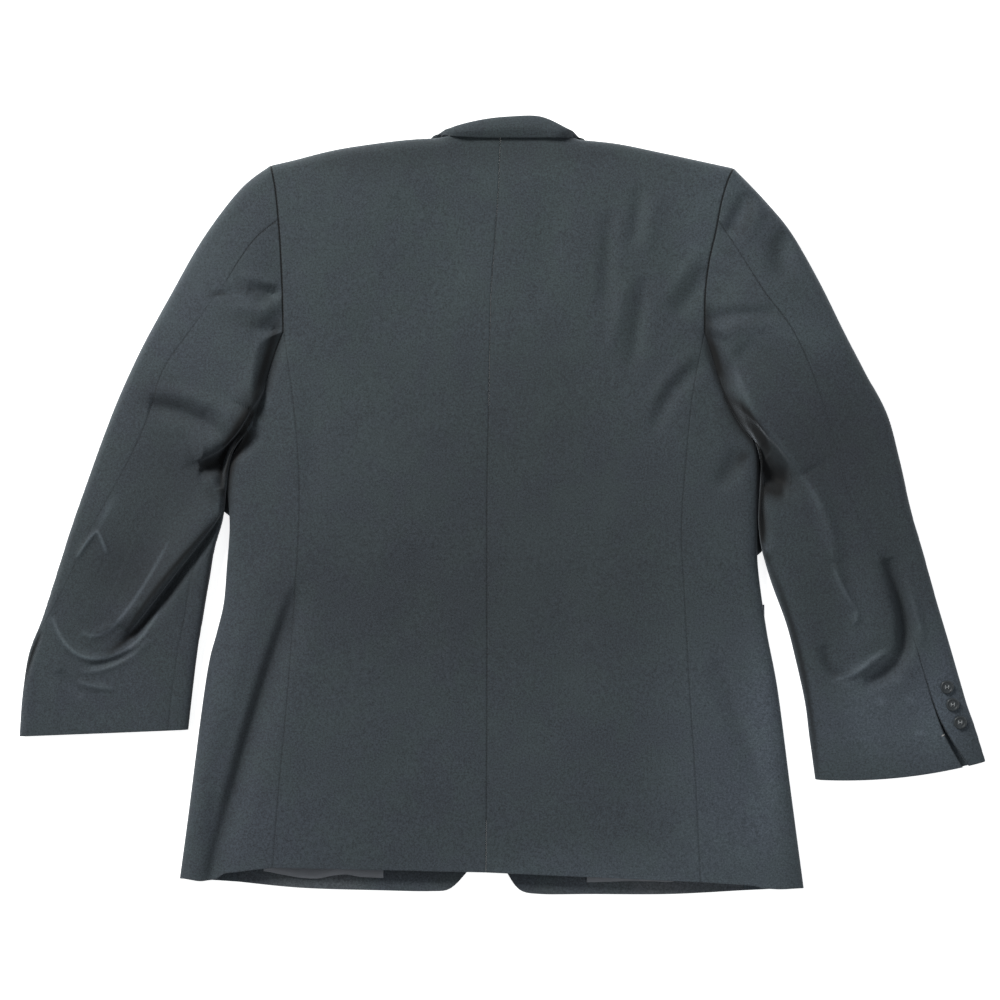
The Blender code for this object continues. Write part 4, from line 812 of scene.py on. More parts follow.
def grid_piece(name, outer, inner, material, distances, layers):
    """A closed wall between two grids of points, with its cloth map and attributes.

    A layer is one grid of values for both sides of the wall, or a pair: its outer and its inner side.
    """
    rows, columns = outer.shape[:2]
    bm = bmesh.new()
    place = bm.verts.layers.int.new("place")
    grid = bmesh.ops.create_grid(bm, x_segments=columns - 1, y_segments=rows - 1, size=1.0)
    outer_points, inner_points = outer.reshape(-1, 3) * MM, inner.reshape(-1, 3) * MM
    for index, vert in enumerate(grid["verts"]):
        vert[place] = index
        vert.co = outer_points[index]
    backing = bmesh.ops.extrude_face_region(bm, geom=bm.faces[:], use_keep_orig=True)
    for item in backing["geom"]:
        if isinstance(item, bmesh.types.BMVert):
            item.co = inner_points[item[place]]
    bmesh.ops.recalc_face_normals(bm, faces=bm.faces[:])
    if bm.calc_volume(signed=True) < 0:
        bmesh.ops.reverse_faces(bm, faces=bm.faces[:])
    piece = mesh_piece(name, bm, material, 42)
    mesh = piece.data
    index = np.zeros(len(mesh.vertices), np.int32)
    mesh.attributes["place"].data.foreach_get("value", index)
    mesh.attributes.remove(mesh.attributes["place"])
    on_inner = (np.arange(len(mesh.vertices)) >= rows * columns) * rows * columns
    for label, values in layers.items():
        layer = mesh.attributes.new(label, "FLOAT", "POINT")
        both = np.broadcast_to(values, (2, rows, columns)).reshape(-1)
        layer.data.foreach_set("value", both[index + on_inner].astype(np.float32))
    corner = np.zeros(len(mesh.loops), np.int32)
    mesh.loops.foreach_get("vertex_index", corner)
    across = (distances[0] - distances[1]) / 2
    flat = np.stack((across, distances[2]), -1).reshape(-1, 2)[index][corner] * MM
    mesh.uv_layers.new(name="cloth").data.foreach_set("uv", flat.reshape(-1).astype(np.float32))
    return piece


def mesh_piece(name, bm, material, sharp=40):
    """An object at the origin from a finished bmesh."""
    mesh = bpy.data.meshes.new(name)
    bm.to_mesh(mesh)
    bm.free()
    mesh.materials.append(material)
    mesh.shade_smooth()
    mesh.set_sharp_from_angle(angle=math.radians(sharp))
    piece = bpy.data.objects.new(name, mesh)
    bpy.context.scene.collection.objects.link(piece)
    return piece


def dress(piece, node):
    """The piece moves with the coat and stands for its CAD node, which is hidden."""
    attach(piece, "root")
    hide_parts(node)


def cloth_piece(node, surface, columns, rows, inward, thickness, borders, material,
                worn=(), first_row=None):
    """Builds one sewn piece of cloth on its surface."""
    a, b = np.meshgrid(columns, rows)
    points = surface(a, b)
    piece, flat, area = shell(node + "_cloth", points, inward, thickness / MM, borders, material, worn,
                              first_row)
    dress(piece, node)
    min(area, 0.999 * flat[0] * flat[1])
    return piece


# ---------------------------------------------------------------- materials

TWILL_PITCH = 0.0011      # metres from one rib, thread, stitch or twist to the next
THREAD_PITCH = 0.0009
STITCH_PITCH = 0.0031
SATIN_PITCH = 0.0008
YARN_PITCH = 0.0005


class Wire:
    """A socket of a material, with arithmetic that lays down the Math nodes for it."""

    def __init__(self, tree, socket=None):
        self.tree, self.socket = tree, socket

    def node(self, kind, settings, sockets, output=0):
        """Any node: its settings are set first, then the values or links of its sockets."""
        made = self.tree.nodes.new(kind)
        for name, value in settings.items():
            if name == "stops":
                ramp = made.color_ramp.elements
                while len(ramp) < len(value):
                    ramp.new(0.5)
                for element, (place, shade) in zip(ramp, value):
                    element.position, element.color = place, shade
            else:
                setattr(made, name, value)
        for name, value in sockets.items():
            if isinstance(value, Wire):
                self.tree.links.new(value.socket, made.inputs[name])
            else:
                made.inputs[name].default_value = value
        return Wire(self.tree, made.outputs[output])

    def output(self, name):
        """Another output of the same node."""
        return Wire(self.tree, self.socket.node.outputs[name])

    def maths(self, operation, *values, clamp=False):
        return self.node("ShaderNodeMath", {"operation": operation, "use_clamp": clamp},
                         dict(enumerate(values)))

    def __add__(self, other):
        return self.maths("ADD", self, other)

    def __radd__(self, other):
        return self.maths("ADD", other, self)

    def __sub__(self, other):
        return self.maths("SUBTRACT", self, other)

    def __rsub__(self, other):
        return self.maths("SUBTRACT", other, self)

    def __mul__(self, other):
        return self.maths("MULTIPLY", self, other)

    def __rmul__(self, other):
        return self.maths("MULTIPLY", other, self)

    def __truediv__(self, other):
        return self.maths("DIVIDE", self, other)

    def sine(self):
        return self.maths("SINE", self)

    def clamp(self):
        return self.maths("ADD", self, 0.0, clamp=True)

    def step(self, low, high):
        """A soft step from 0 at low to 1 at high."""
        return self.node("ShaderNodeMapRange", {"interpolation_type": "SMOOTHSTEP"},
                         {"Value": self, "From Min": low, "From Max": high})

    def noise(self, place, scale, detail=2.0, roughness=0.5):
        """Noise from 0 to 1, about 0.5, at so many lumps a metre."""
        return self.node("ShaderNodeTexNoise", {"noise_dimensions": "3D"},
                         {"Vector": place, "Scale": scale, "Detail": detail, "Roughness": roughness})

    def mix(self, share, first, second, blend="MIX"):
        """Two colours mixed by a share."""
        return self.node("ShaderNodeMix", {"data_type": "RGBA", "blend_type": blend},
                         {0: share, 6: first, 7: second}, output=2)

    def tint(self, colour, amount):
        """A colour made lighter or darker by a number that varies about 1."""
        grey = self.node("ShaderNodeCombineXYZ", {}, {"X": amount, "Y": amount, "Z": amount})
        colour = colour if isinstance(colour, Wire) else colour[:3]
        return self.node("ShaderNodeVectorMath", {"operation": "MULTIPLY"}, {0: colour, 1: grey})


def new_material(name, constants):
    """A material with one Principled shader, its constants set on the shader, and the place on the coat."""
    material = bpy.data.materials.new(name)
    material.use_nodes = True
    shader = material.node_tree.nodes["Principled BSDF"]
    for socket, value in constants.items():
        shader.inputs[socket].default_value = value
    material.diffuse_color = constants["Base Color"]
    wire = Wire(material.node_tree)
    return material, wire, shader, wire.node("ShaderNodeTexCoord", {}, {}).output("Object")


def axes(wire, vector):
    """The three numbers of a vector."""
    split = wire.node("ShaderNodeSeparateXYZ", {}, {"Vector": vector})
    return [split.output(axis) for axis in "XYZ"]


def cloth_map(wire):
    """The place on the cloth as if it lay flat: across it and along it, in metres."""
    return axes(wire, wire.node("ShaderNodeUVMap", {"uv_map": "cloth"}, {}))[:2]


def feed(wire, shader, **sockets):
    """Links to the shader's sockets, named with underscores for spaces."""
    for name, value in sockets.items():
        wire.tree.links.new(value.socket, shader.inputs[name.replace("_", " ")])


def bump(wire, height, distance, strength):
    """A normal that follows a height."""
    return wire.node("ShaderNodeBump", {}, {"Height": height, "Distance": distance, "Strength": strength})


def colour4(value):
    """A colour with its alpha."""
    return (*value, 1.0)


def wool(name, base, shade=1.0):
    """Fine worsted twill with a slight sheen, mottled, rubbed at its creases where a highlight is painted,
    with painted shade in its deep hollows, broad lighter and darker patches that are partly its own uneven
    tone and partly painted light and shade, and dark along its seams.
    """
    colours = bpy.context.scene.coat_colours
    material, wire, shader, place = new_material(name, {
        "Base Color": colour4(base), "Roughness": 0.7, "Sheen Weight": 0.22, "Sheen Roughness": 0.45,
        "Sheen Tint": colour4((0.80, 0.90, 1.0)), "Specular IOR Level": 0.35})
    across, along = cloth_map(wire)
    worn, seam, tone, cool = (wire.node("ShaderNodeAttribute", {"attribute_name": label}, {}, output=2)
                              for label in ("worn", "seam", "tone", "cool"))
    # the positive part is the rubbed creases, whose lightening is a painted highlight; the negative part,
    # shade_in, is painted deep shade
    rub_and_painted_light, shade_in = worn.clamp(), (0.0 - worn).clamp()

    grain = wire.noise(place, 520.0, 2.0, 0.7)
    fleck = wire.noise(place, 1500.0, 1.0, 0.5)
    mottle = wire.noise(place, 30.0, 3.0, 0.6)
    cloud = wire.noise(place, 7.0, 2.0, 0.5)
    rib = ((across * 0.62 + along) * (math.tau / TWILL_PITCH) + (grain - 0.5) * 3.0).sine()
    thread = ((across - along * 0.3) * (math.tau / THREAD_PITCH)).sine()

    stitch = (along * (math.tau / STITCH_PITCH) + (mottle - 0.5) * 5.0).sine().step(-0.9, 0.9)
    line = (seam * (0.62 + stitch * 0.36)).clamp()
    # tone brings broad lighter and darker patches, partly the cloth's own tone and partly painted light and
    # shade; the rubbed creases add a painted highlight
    light = (shade * (1.0 + tone) * (1.0 + (grain - 0.5) * 2.0 + (fleck - 0.5) * 1.1 + (mottle - 0.5) * 0.30
                                     + (cloud - 0.5) * 0.22) + rib * 0.03 + rub_and_painted_light * (0.5 + grain * 0.5))
    green = (mottle.step(0.38, 0.62) * 0.5 + 0.25 - cool * 0.6).clamp()
    hue = wire.mix(green, colour4(colours.wool_cool), colour4(colours.wool_green))
    hue = wire.mix((cloud.step(0.3, 0.7) * 0.4).clamp(), hue, colour4(base))
    # shade_in darkens the colour with painted deep shade
    colour = wire.tint(hue, light * (1 - line) * (1 - shade_in))
    height = rib * 0.5 + thread * 0.2 + grain * 1.6 + fleck * 0.8
    rough = (0.80 - rub_and_painted_light * 0.22 + (grain - 0.5) * 0.16).clamp()
    feed(wire, shader, Base_Color=colour, Roughness=rough, Normal=bump(wire, height, 0.00012, 0.75))
    return material


def satin(name, base):
    """Smooth lining with a fine rib, pressed and slightly creased."""
    material, wire, shader, place = new_material(name, {
        "Base Color": colour4(base), "Roughness": 0.38, "Sheen Weight": 0.1, "Specular IOR Level": 0.6})
    rib = (cloth_map(wire)[1] * (math.tau / SATIN_PITCH)).sine()
    cloud = wire.noise(place, 90.0, 3.0, 0.6)
    grain = wire.noise(place, 900.0, 2.0, 0.6)
    colour = wire.tint(colour4(base), 0.75 + cloud * 0.3 + grain * 0.2 + rib * 0.04)
    rough = (0.30 + cloud * 0.2).clamp()
    feed(wire, shader, Base_Color=colour, Roughness=rough,
         Normal=bump(wire, rib * 0.3 + cloud * 4.0 + grain, 0.0001, 0.6))
    return material


def button_plastic(name, base):
    """Dark moulded plastic with a faint marbling and fine scratches."""
    material, wire, shader, place = new_material(name, {
        "Base Color": colour4(base), "Roughness": 0.42, "Specular IOR Level": 0.35, "Coat Weight": 0.1,
        "Coat Roughness": 0.3})
    marble = wire.noise(place, 260.0, 4.0, 0.65)
    scuff = wire.noise(place, 1900.0, 2.0, 0.7)
    colour = wire.tint(colour4(base), 0.55 + marble * 0.9)
    rough = (0.24 + marble * 0.14 + scuff * 0.20).clamp()
    feed(wire, shader, Base_Color=colour, Roughness=rough,
         Normal=bump(wire, scuff + marble * 0.5, 0.00005, 0.5))
    return material


def yarn(name, base):
    """Twisted sewing thread."""
    material, wire, shader, place = new_material(name, {
        "Base Color": colour4(base), "Roughness": 0.7, "Sheen Weight": 0.3})
    x, y, z = axes(wire, place)
    twist = ((x + y + z) * (math.tau / YARN_PITCH)).sine()
    fuzz = wire.noise(place, 3000.0, 2.0, 0.6)
    colour = wire.tint(colour4(base), 0.75 + fuzz * 0.4 + twist * 0.1)
    rough = (0.6 + fuzz * 0.25).clamp()
    feed(wire, shader, Base_Color=colour, Roughness=rough, Normal=bump(wire, twist + fuzz, 0.0001, 0.6))
    return material


def pale_floor(name, base):
    """Plain pale paper, hardly textured."""
    material, wire, shader, place = new_material(name, {
        "Base Color": colour4(base), "Roughness": 0.9, "Specular IOR Level": 0.1,
        "Emission Color": colour4(base), "Emission Strength": 0.92})
    cloud = wire.noise(place, 3.0, 2.0, 0.5)
    feed(wire, shader, Base_Color=wire.tint(colour4(base), 0.99 + cloud * 0.02))
    return material


MATERIALS = {}


def material(key):
    """A material of the coat, made when it is first asked for."""
    colours = bpy.context.scene.coat_colours
    makers = {
        "wool": lambda: wool("wool_twill", colours.wool),
        "wool_inside": lambda: wool("wool_twill_inside", colours.wool_inside, 0.95),
        "lining": lambda: satin("lining_satin", colours.lining),
        "button": lambda: button_plastic("button_plastic", colours.button),
        "thread": lambda: yarn("button_thread", colours.thread),
        "tack": lambda: yarn("tack_thread", colours.tack),
        "floor": lambda: pale_floor("pale_floor", colours.floor)}
    if key not in MATERIALS:
        MATERIALS[key] = makers[key]()
    return MATERIALS[key]


# ---------------------------------------------------------------- properties

def length(name, description, default, low, high):
    """A length that the user can change."""
    return FloatProperty(name=name, description=description, default=default, min=low, max=high,
                         subtype="DISTANCE", unit="LENGTH")


def colour(name, description, default):
    """A colour that the user can change."""
    return FloatVectorProperty(name=name, description=description, default=default, subtype="COLOR",
                               size=3, min=0, max=1)


class CoatSizes(bpy.types.PropertyGroup):
    """Sizes of the cloth and its seams."""
    cloth: length("Cloth", "Thickness of the wool cloth", 0.0013, 0.0004, 0.0016)
    collar: length("Collar", "Thickness of the collar with its canvas", 0.0020, 0.0004, 0.0022)
    lining: length("Lining", "Thickness of the lining at the hem", 0.0009, 0.0004, 0.0010)
    press: length("Seam press", "How far the cloth sinks into a pressed seam", 0.0003, 0.0, 0.0012)
    pucker: length("Pucker", "Distance between puckers along a seam", 0.0062, 0.002, 0.02)
    rows: IntProperty(name="Rows", description="Rows of faces from hem to shoulder", default=250, min=40,
                      max=400)


class CoatColours(bpy.types.PropertyGroup):
    """Colours of the coat's finishes."""
    wool: colour("Wool", "Ground colour of the twill", (0.0348, 0.0458, 0.0522))
    wool_cool: colour("Cool flecks", "Cooler tone in the twill", (0.0355, 0.0440, 0.0556))
    wool_green: colour("Green flecks", "Greener tone in the twill", (0.0330, 0.0462, 0.0496))
    wool_inside: colour("Facing", "Inner side of the fronts", (0.0950, 0.0960, 0.0980))
    lining: colour("Lining", "Satin lining", (0.160, 0.172, 0.192))
    button: colour("Button", "Moulded buttons", (0.030, 0.036, 0.040))
    thread: colour("Thread", "Thread of the buttons", (0.260, 0.280, 0.290))
    tack: colour("Tack", "Pale tack at the cuff's vent", (0.60, 0.60, 0.58))
    floor: colour("Floor", "Pale surface that the coat lies on", (0.86, 0.86, 0.86))


# ---------------------------------------------------------------- pieces

class COAT_OT_backs(bpy.types.Operator):
    """Build the two backs, joined at the centre-back seam"""
    bl_idname = "coat.backs"
    bl_label = "Backs"

    def execute(self, context):
        sizes = context.scene.coat_sizes
        rows = body_steps(sizes.rows, SHOULDER_ROLL)
        for side in SIDES:
            cloth_piece("back_" + side, lambda u, v: back_surface(side, u, v), steps(80, 225), rows,
                        -SIGN[side], sizes.cloth, (BACK_SEAM, 0.6, "turned", 0.6),
                        material("wool"), worn=MARKS["body"])
        return {"FINISHED"}


class COAT_OT_sides(bpy.types.Operator):
    """Build the side pieces, rolled round the coat's side edges"""
    bl_idname = "coat.sides"
    bl_label = "Side pieces"

    def execute(self, context):
        sizes = context.scene.coat_sizes
        rows = steps(int(sizes.rows * 0.76), 560)
        for side in SIDES:
            cloth_piece("side_" + side, lambda q, v: side_surface(side, q, v), ring_steps(), rows,
                        SIGN[side], sizes.cloth, (0.4, 0.4, "turned", 1.4),
                        material("wool"), worn=MARKS["body"])
        return {"FINISHED"}


class COAT_OT_fronts(bpy.types.Operator):
    """Build the two fronts, which lie underneath"""
    bl_idname = "coat.fronts"
    bl_label = "Fronts"

    def execute(self, context):
        sizes = context.scene.coat_sizes
        rows = body_steps(int(sizes.rows * 0.6), FRONT_SHOULDER_ROLL)
        for side in SIDES:
            cloth_piece("front_" + side, lambda u, v: front_surface(side, u, v), steps(50, 260), rows,
                        SIGN[side], sizes.cloth, (0.4, "turned", "turned", 0.6), material("wool_inside"))
        return {"FINISHED"}


class COAT_OT_sleeves(bpy.types.Operator):
    """Build the top and under pieces of both sleeves"""
    bl_idname = "coat.sleeves"
    bl_label = "Sleeves"

    def execute(self, context):
        sizes = context.scene.coat_sizes
        for side in SIDES:
            for name, columns, density in (("under", steps(92, 160), 1.45), ("top", steps(80, 250), 1.1)):
                def surface(c, v):
                    return sleeve_surface(side, sleeve_ring(side, name, c, v), v)

                rows = steps(int(sizes.rows * density), 640)
                ring = sleeve_ring(side, name, columns, 0 * columns)
                seams = (ELBOW_LINE[side], INSEAM_LINE[side])
                seams = seams if name == "under" else seams[::-1]
                cloth_piece("%s_sleeve_%s" % (name, side), surface, columns, rows, SIGN[side],
                            sizes.cloth, (*seams, 1.5, "turned"), material("wool"),
                            worn=MARKS[side], first_row=armhole_loop(side, ring, body_normal))
        return {"FINISHED"}


def collar_surface(t, c):
    """The collar: t round the neck from the left gorge to the right, c from foot to outer edge."""
    table = np.asarray(COLLAR_SECTIONS, float)
    row = rows_at(table, t * (len(table) - 1))
    foot, crease, edge = row[..., 0:3], row[..., 3:6], row[..., 6:9]
    half, lean, bulge = row[..., 9:10], np.radians(row[..., 10:11]), row[..., 11:12]
    out = unit(crease[..., :2] - np.array(NECK_CENTRE))
    across = np.concatenate((out * np.cos(lean), np.sin(lean)), -1)
    reach = crease - (foot + edge) / 2
    reach = unit(reach - across * (reach * across).sum(-1)[..., None])
    low, high = crease - reach * half - across * half, crease - reach * half + across * half
    stops = (foot, (foot + low) / 2, low, crease, high, (high + edge) / 2 + across * bulge, edge)
    section = np.stack(stops, -2)
    place = c * (len(stops) - 1)
    low_stop = np.minimum(place.astype(int), len(stops) - 2)
    f = (place - low_stop)[..., None]

    def stop(offset):
        index = np.clip(low_stop + offset, 0, len(stops) - 1)
        return np.take_along_axis(section, index[..., None, None], -2)[..., 0, :]

    skin = spline(stop(-1), stop(0), stop(1), stop(2), f)
    skin[..., 2] = np.maximum(skin[..., 2], 0)
    return skin


class COAT_OT_collar(bpy.types.Operator):
    """Build the collar: stand, crease and fall in one folded band"""
    bl_idname = "coat.collar"
    bl_label = "Collar"

    def execute(self, context):
        sizes = context.scene.coat_sizes
        cloth_piece("collar", collar_surface, steps(130, 420), steps(56, 60), 1, sizes.collar,
                    ("turned", "turned", 0.5, "turned"), material("wool"))
        return {"FINISHED"}


class COAT_OT_lapels(bpy.types.Operator):
    """Build the lapels, turned back under the fronts"""
    bl_idname = "coat.lapels"
    bl_label = "Lapels"

    def execute(self, context):
        sizes = context.scene.coat_sizes
        for side in SIDES:
            def surface(u, v):
                outer, fold = line(LAPEL_OUTER[side]), line(LAPEL_ROLL[side])
                plan = patch(outer, fold, between(outer, fold, 0.0), line(LAPEL_TOP[side]), u, v)
                return lifted(plan, right_lapel_floor(plan) if side == "right" else 0 * u)

            cloth_piece("lapel_" + side, surface, steps(24, 80), steps(90, 300), SIGN[side],
                        sizes.cloth, ("turned", "turned", "turned", 0.5), material("wool"))
        return {"FINISHED"}


class COAT_OT_flaps(bpy.types.Operator):
    """Build the pocket flaps, underneath"""
    bl_idname = "coat.flaps"
    bl_label = "Pocket flaps"

    def execute(self, context):
        sizes = context.scene.coat_sizes
        for side in SIDES:
            corners = [np.array(corner, float) for corner in FLAP_CORNERS[side]]

            def surface(u, v):
                u1, v1 = u[..., None], v[..., None]
                top = corners[0] + (corners[1] - corners[0]) * u1
                low = corners[3] + (corners[2] - corners[3]) * u1
                low = low + (top - low) * (FLAP_ROUNDING * np.abs(2 * u1 - 1) ** 7)
                return lifted(low + (top - low) * v1, 0 * u)

            cloth_piece("flap_" + side, surface, steps(60, 148), steps(24, 55), -SIGN[side],
                        sizes.cloth, ("turned", "turned", "turned", 0.5), material("wool"))
        return {"FINISHED"}


class COAT_OT_linings(bpy.types.Operator):
    """Build the two strips of lining that show inside the fronts at the hem"""
    bl_idname = "coat.linings"
    bl_label = "Lining strips"

    def execute(self, context):
        sizes = context.scene.coat_sizes
        for side in SIDES:
            x0, x1 = LINING_SPANS[side]

            def surface(u, v):
                x = x0 + (x1 - x0) * u
                edge = np.array(LINING_EDGE[side], float)
                low = rows_at(edge, np.interp(x, edge[:, 0], np.arange(len(edge))))[..., 1]
                plan = np.stack((x, low + (LINING_TOP - low) * v), -1)
                depth = plan[..., 1] - low
                waves = np.sin(x / 7 + 2 * np.sin(x / 23))
                puff = 1.5 * hump(depth - 5, 4.5) + 0.25 * waves * np.exp(-depth / 9)
                level = front_floor(side, plan) + CLOTH_STEP + LAYER_GAP + sizes.lining / MM
                return lifted(plan, level + puff)

            cloth_piece("lining_" + side, surface, steps(90, 110), steps(34, 56), -1, sizes.lining,
                        ("turned", "turned", "turned", "turned"), material("lining"))
        return {"FINISHED"}


# ---------------------------------------------------------------- buttons

TACK_STITCHES = ((457.0, -240.2), (457.2, -239.4))
TACK_WAY = (2.4, 0.9)     # from the start to the end of each
TACK_RISE, TACK_YARN = 0.0005, 0.00022
HOLE_RADIUS, HOLE_PLACE = 0.115, 0.235   # shares of the button's radius
DISH_LEVEL = 0.60         # share of the button's height
BUTTON_TURNS = 48
LONG_STITCH = (0.26, 0.075)      # rise as a share of the button's height, yarn as a share of its radius
CROSS_STITCH = (0.32, 0.065)
BUTTON_NODES = (["front_button_%d" % n for n in (1, 2)]
                + ["cuff_button_%s_%d" % (side, n) for side in SIDES for n in (1, 2, 3)])
BUTTON_PROFILE = (
    # share of the radius, share of the height
    (0, 0), (0.55, 0), (0.80, 0.03), (0.93, 0.16), (1.0, 0.40), (0.995, 0.62), (0.955, 0.84), (0.90, 0.96),
    (0.83, 1.0), (0.76, 0.96), (0.69, 0.84), (0.62, 0.74), (0.52, 0.69), (0, 0.66))


def button_seat(node):
    """Matrix that puts a button's own frame, face up, where its CAD node is, and its radius and height."""
    points = np.array([vert.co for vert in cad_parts[node].data.vertices])
    centre = points.mean(0)
    axis = np.linalg.svd(points - centre)[2][2]
    upward = 1 if node.startswith("cuff_button_right") else -1
    axis = axis * np.sign(axis[2]) * upward
    level = (points - centre) @ axis
    radius = np.linalg.norm(points - centre - level[:, None] * axis, axis=-1).max()
    turn = Vector((0, 0, 1)).rotation_difference(Vector(axis)).to_matrix().to_4x4()
    return Matrix.Translation(Vector(centre + axis * level.min())) @ turn, radius, level.max() - level.min()


def turned_button(radius, height):
    """The button's body, turned from its profile."""
    bm = bmesh.new()
    verts = [bm.verts.new((r * radius, 0, z * height)) for r, z in BUTTON_PROFILE]
    edges = [bm.edges.new(pair) for pair in zip(verts, verts[1:])]
    bmesh.ops.spin(bm, geom=verts + edges, cent=(0, 0, 0), axis=(0, 0, 1), angle=math.tau,
                   steps=BUTTON_TURNS, use_merge=True)
    bmesh.ops.remove_doubles(bm, verts=bm.verts[:], dist=1e-6)
    bmesh.ops.recalc_face_normals(bm, faces=bm.faces[:])
    return bm


def stitch(bm, start, end, rise, radius):
    """A half-round stitch from one hole to another."""
    start, end = Vector(start), Vector(end)
    half = (end - start).length / 2
    ring = bmesh.ops.create_circle(bm, segments=8, radius=radius, cap_ends=False)["verts"]
    bmesh.ops.translate(bm, verts=ring, vec=(half, 0, 0))
    edges = [edge for edge in bm.edges if all(vert in ring for vert in edge.verts)]
    before = set(bm.verts) - set(ring)
    bmesh.ops.spin(bm, geom=ring + edges, cent=(0, 0, 0), axis=(0, -1, 0), angle=math.pi, steps=12)
    made = [vert for vert in bm.verts if vert not in before]
    bmesh.ops.holes_fill(bm, edges=[edge for edge in bm.edges if edge.is_boundary])
    way = (end - start).normalized()
    turn = Matrix.Rotation(math.atan2(way.y, way.x), 4, "Z")
    bmesh.ops.transform(bm, verts=made, matrix=Matrix.Translation((start + end) / 2) @ turn
                        @ Matrix.Diagonal((1, 1, rise / half, 1)))


class COAT_OT_buttons(bpy.types.Operator):
    """Build the four-hole buttons and the thread that crosses them"""
    bl_idname = "coat.buttons"
    bl_label = "Buttons"

    def execute(self, context):
        for node in BUTTON_NODES:
            seat, radius, height = button_seat(node)
            hole, spread = radius * HOLE_RADIUS, radius * HOLE_PLACE
            body = mesh_piece(node + "_blank", turned_button(radius, height), material("button"))
            cutter = bmesh.new()
            for x in (-spread, spread):
                for y in (-spread, spread):
                    bmesh.ops.create_cone(cutter, cap_ends=True, segments=16, radius1=hole, radius2=hole,
                                          depth=height * 4, matrix=Matrix.Translation((x, y, 0)))
            drills = mesh_piece(node + "_drills", cutter, material("button"))
            cut = body.modifiers.new("holes", "BOOLEAN")
            cut.object, cut.operation, cut.solver = drills, "DIFFERENCE", "EXACT"
            mesh = bpy.data.meshes.new_from_object(body.evaluated_get(context.evaluated_depsgraph_get()))
            for item in (body, drills):
                bpy.data.objects.remove(item, do_unlink=True)
            bm = bmesh.new()
            bm.from_mesh(mesh)
            bmesh.ops.transform(bm, verts=bm.verts[:], matrix=seat)
            piece = mesh_piece(node + "_drilled", bm, material("button"), 50)
            dress(piece, node)

            dish = height * DISH_LEVEL
            rise, yarn_share = LONG_STITCH
            bm = bmesh.new()
            for x in (-spread, spread):
                stitch(bm, (x, -spread, dish), (x, spread, dish), height * rise, radius * yarn_share)
            rise, yarn_share = CROSS_STITCH
            stitch(bm, (-spread, 0, dish), (spread, 0, dish), height * rise, radius * yarn_share)
            bmesh.ops.recalc_face_normals(bm, faces=bm.faces[:])
            bmesh.ops.transform(bm, verts=bm.verts[:], matrix=seat)
            thread = mesh_piece(node + "_thread", bm, material("thread"), 60)
            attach(thread, "root")
        return {"FINISHED"}


class COAT_OT_tack(bpy.types.Operator):
    """Add the short pale bar tack at the right cuff's vent"""
    bl_idname = "coat.tack"
    bl_label = "Vent tack"

    def execute(self, context):
        bm = bmesh.new()
        for x, y in TACK_STITCHES:
            end = ((x + TACK_WAY[0]) * MM, (y + TACK_WAY[1]) * MM, 0)
            stitch(bm, (x * MM, y * MM, 0), end, TACK_RISE, TACK_YARN)
        bmesh.ops.recalc_face_normals(bm, faces=bm.faces[:])
        foot = bpy.data.objects["under_sleeve_right_cloth"].evaluated_get(context.evaluated_depsgraph_get())
        x, y = TACK_STITCHES[0]
        hit = foot.ray_cast(Vector((x * MM, y * MM, 0.1)), Vector((0, 0, -1)))
        bmesh.ops.translate(bm, verts=bm.verts[:], vec=(0, 0, hit[1].z + 0.0001))
        tack = mesh_piece("vent_tack", bm, material("tack"), 60)
        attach(tack, "root")
        return {"FINISHED"}


# ---------------------------------------------------------------- stage

FLOOR_HALF, FLOOR_DROP = 4.0, 0.0003
SKY_COLOUR, SKY_STRENGTH = (0.97, 0.985, 1.0, 1), 0.30
LIGHTS = (
    # name, place, size, power, colour
    ("key", (-1.8, 2.0, 1.8), 1.1, 124.0, (1.0, 0.99, 0.97)),
    ("fill", (1.8, -1.2, 2.6), 2.2, 14.0, (0.95, 0.98, 1.0)))
EYE = (-0.0024, 0.0053, 3.2)
SENSOR = 36.0
PICTURE_WIDTH, PICTURE_LEVEL = 1.040, 0.012   # what the picture is wide, at this height above the surface


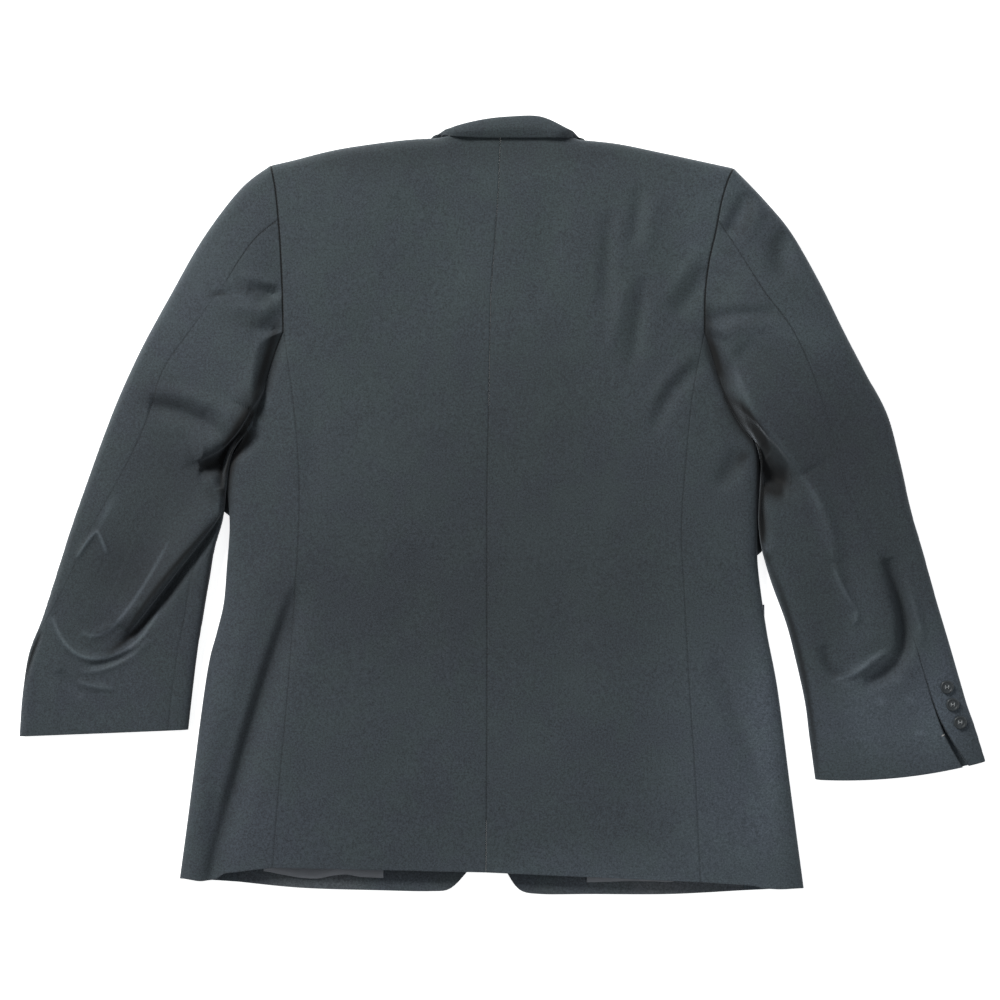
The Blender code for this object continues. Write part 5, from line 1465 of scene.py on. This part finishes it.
class COAT_OT_stage(bpy.types.Operator):
    """Lay the pale floor, light it softly and set the camera straight above"""
    bl_idname = "coat.stage"
    bl_label = "Stage"

    def execute(self, context):
        scene = context.scene
        bm = bmesh.new()
        bmesh.ops.create_grid(bm, x_segments=8, y_segments=8, size=FLOOR_HALF)
        bmesh.ops.translate(bm, verts=bm.verts[:], vec=(0, 0, -FLOOR_DROP))
        floor = mesh_piece("floor", bm, material("floor"))

        world = bpy.data.worlds.new("studio")
        scene.world = world
        world.use_nodes = True
        sky = world.node_tree.nodes["Background"].inputs
        sky["Color"].default_value, sky["Strength"].default_value = SKY_COLOUR, SKY_STRENGTH

        for name, place, size, power, hue in LIGHTS:
            light = bpy.data.lights.new(name, "AREA")
            light.shape, light.size, light.energy, light.color = "DISK", size, power, hue
            lamp = bpy.data.objects.new(name, light)
            lamp.location = place
            lamp.rotation_euler = (-Vector(place)).to_track_quat("-Z", "Y").to_euler()
            scene.collection.objects.link(lamp)

        camera = bpy.data.cameras.new("overhead")
        camera.sensor_width = SENSOR
        camera.lens = SENSOR * (EYE[2] - PICTURE_LEVEL) / PICTURE_WIDTH
        camera.clip_start, camera.clip_end = 0.1, 20.0
        eye = bpy.data.objects.new("overhead", camera)
        eye.location = EYE
        scene.collection.objects.link(eye)
        scene.camera = eye
        scene.view_settings.view_transform = "Standard"
        scene.view_settings.look = "None"
        return {"FINISHED"}


STEPS = (COAT_OT_stage, COAT_OT_backs, COAT_OT_sides, COAT_OT_fronts, COAT_OT_sleeves, COAT_OT_collar,
         COAT_OT_lapels, COAT_OT_flaps, COAT_OT_linings, COAT_OT_buttons, COAT_OT_tack)


class COAT_PT_panel(bpy.types.Panel):
    """Lists the coat's sizes, colours and pieces"""
    bl_idname = "COAT_PT_panel"
    bl_label = "Sport coat"
    bl_space_type = "VIEW_3D"
    bl_region_type = "UI"
    bl_category = "Coat"

    def draw(self, context):
        for group in (context.scene.coat_sizes, context.scene.coat_colours):
            for name in group.__annotations__:
                self.layout.prop(group, name)
        for step in STEPS:
            self.layout.operator(step.bl_idname)


CLASSES = (CoatSizes, CoatColours, COAT_PT_panel) + STEPS


def register():
    for item in CLASSES:
        bpy.utils.register_class(item)
    bpy.types.Scene.coat_sizes = PointerProperty(type=CoatSizes)
    bpy.types.Scene.coat_colours = PointerProperty(type=CoatColours)


def unregister():
    del bpy.types.Scene.coat_colours
    del bpy.types.Scene.coat_sizes
    for item in reversed(CLASSES):
        bpy.utils.unregister_class(item)


def main():
    register()
    for step in STEPS:
        group, name = step.bl_idname.split(".")
        getattr(getattr(bpy.ops, group), name)()


if __name__ == "__main__":
    main()
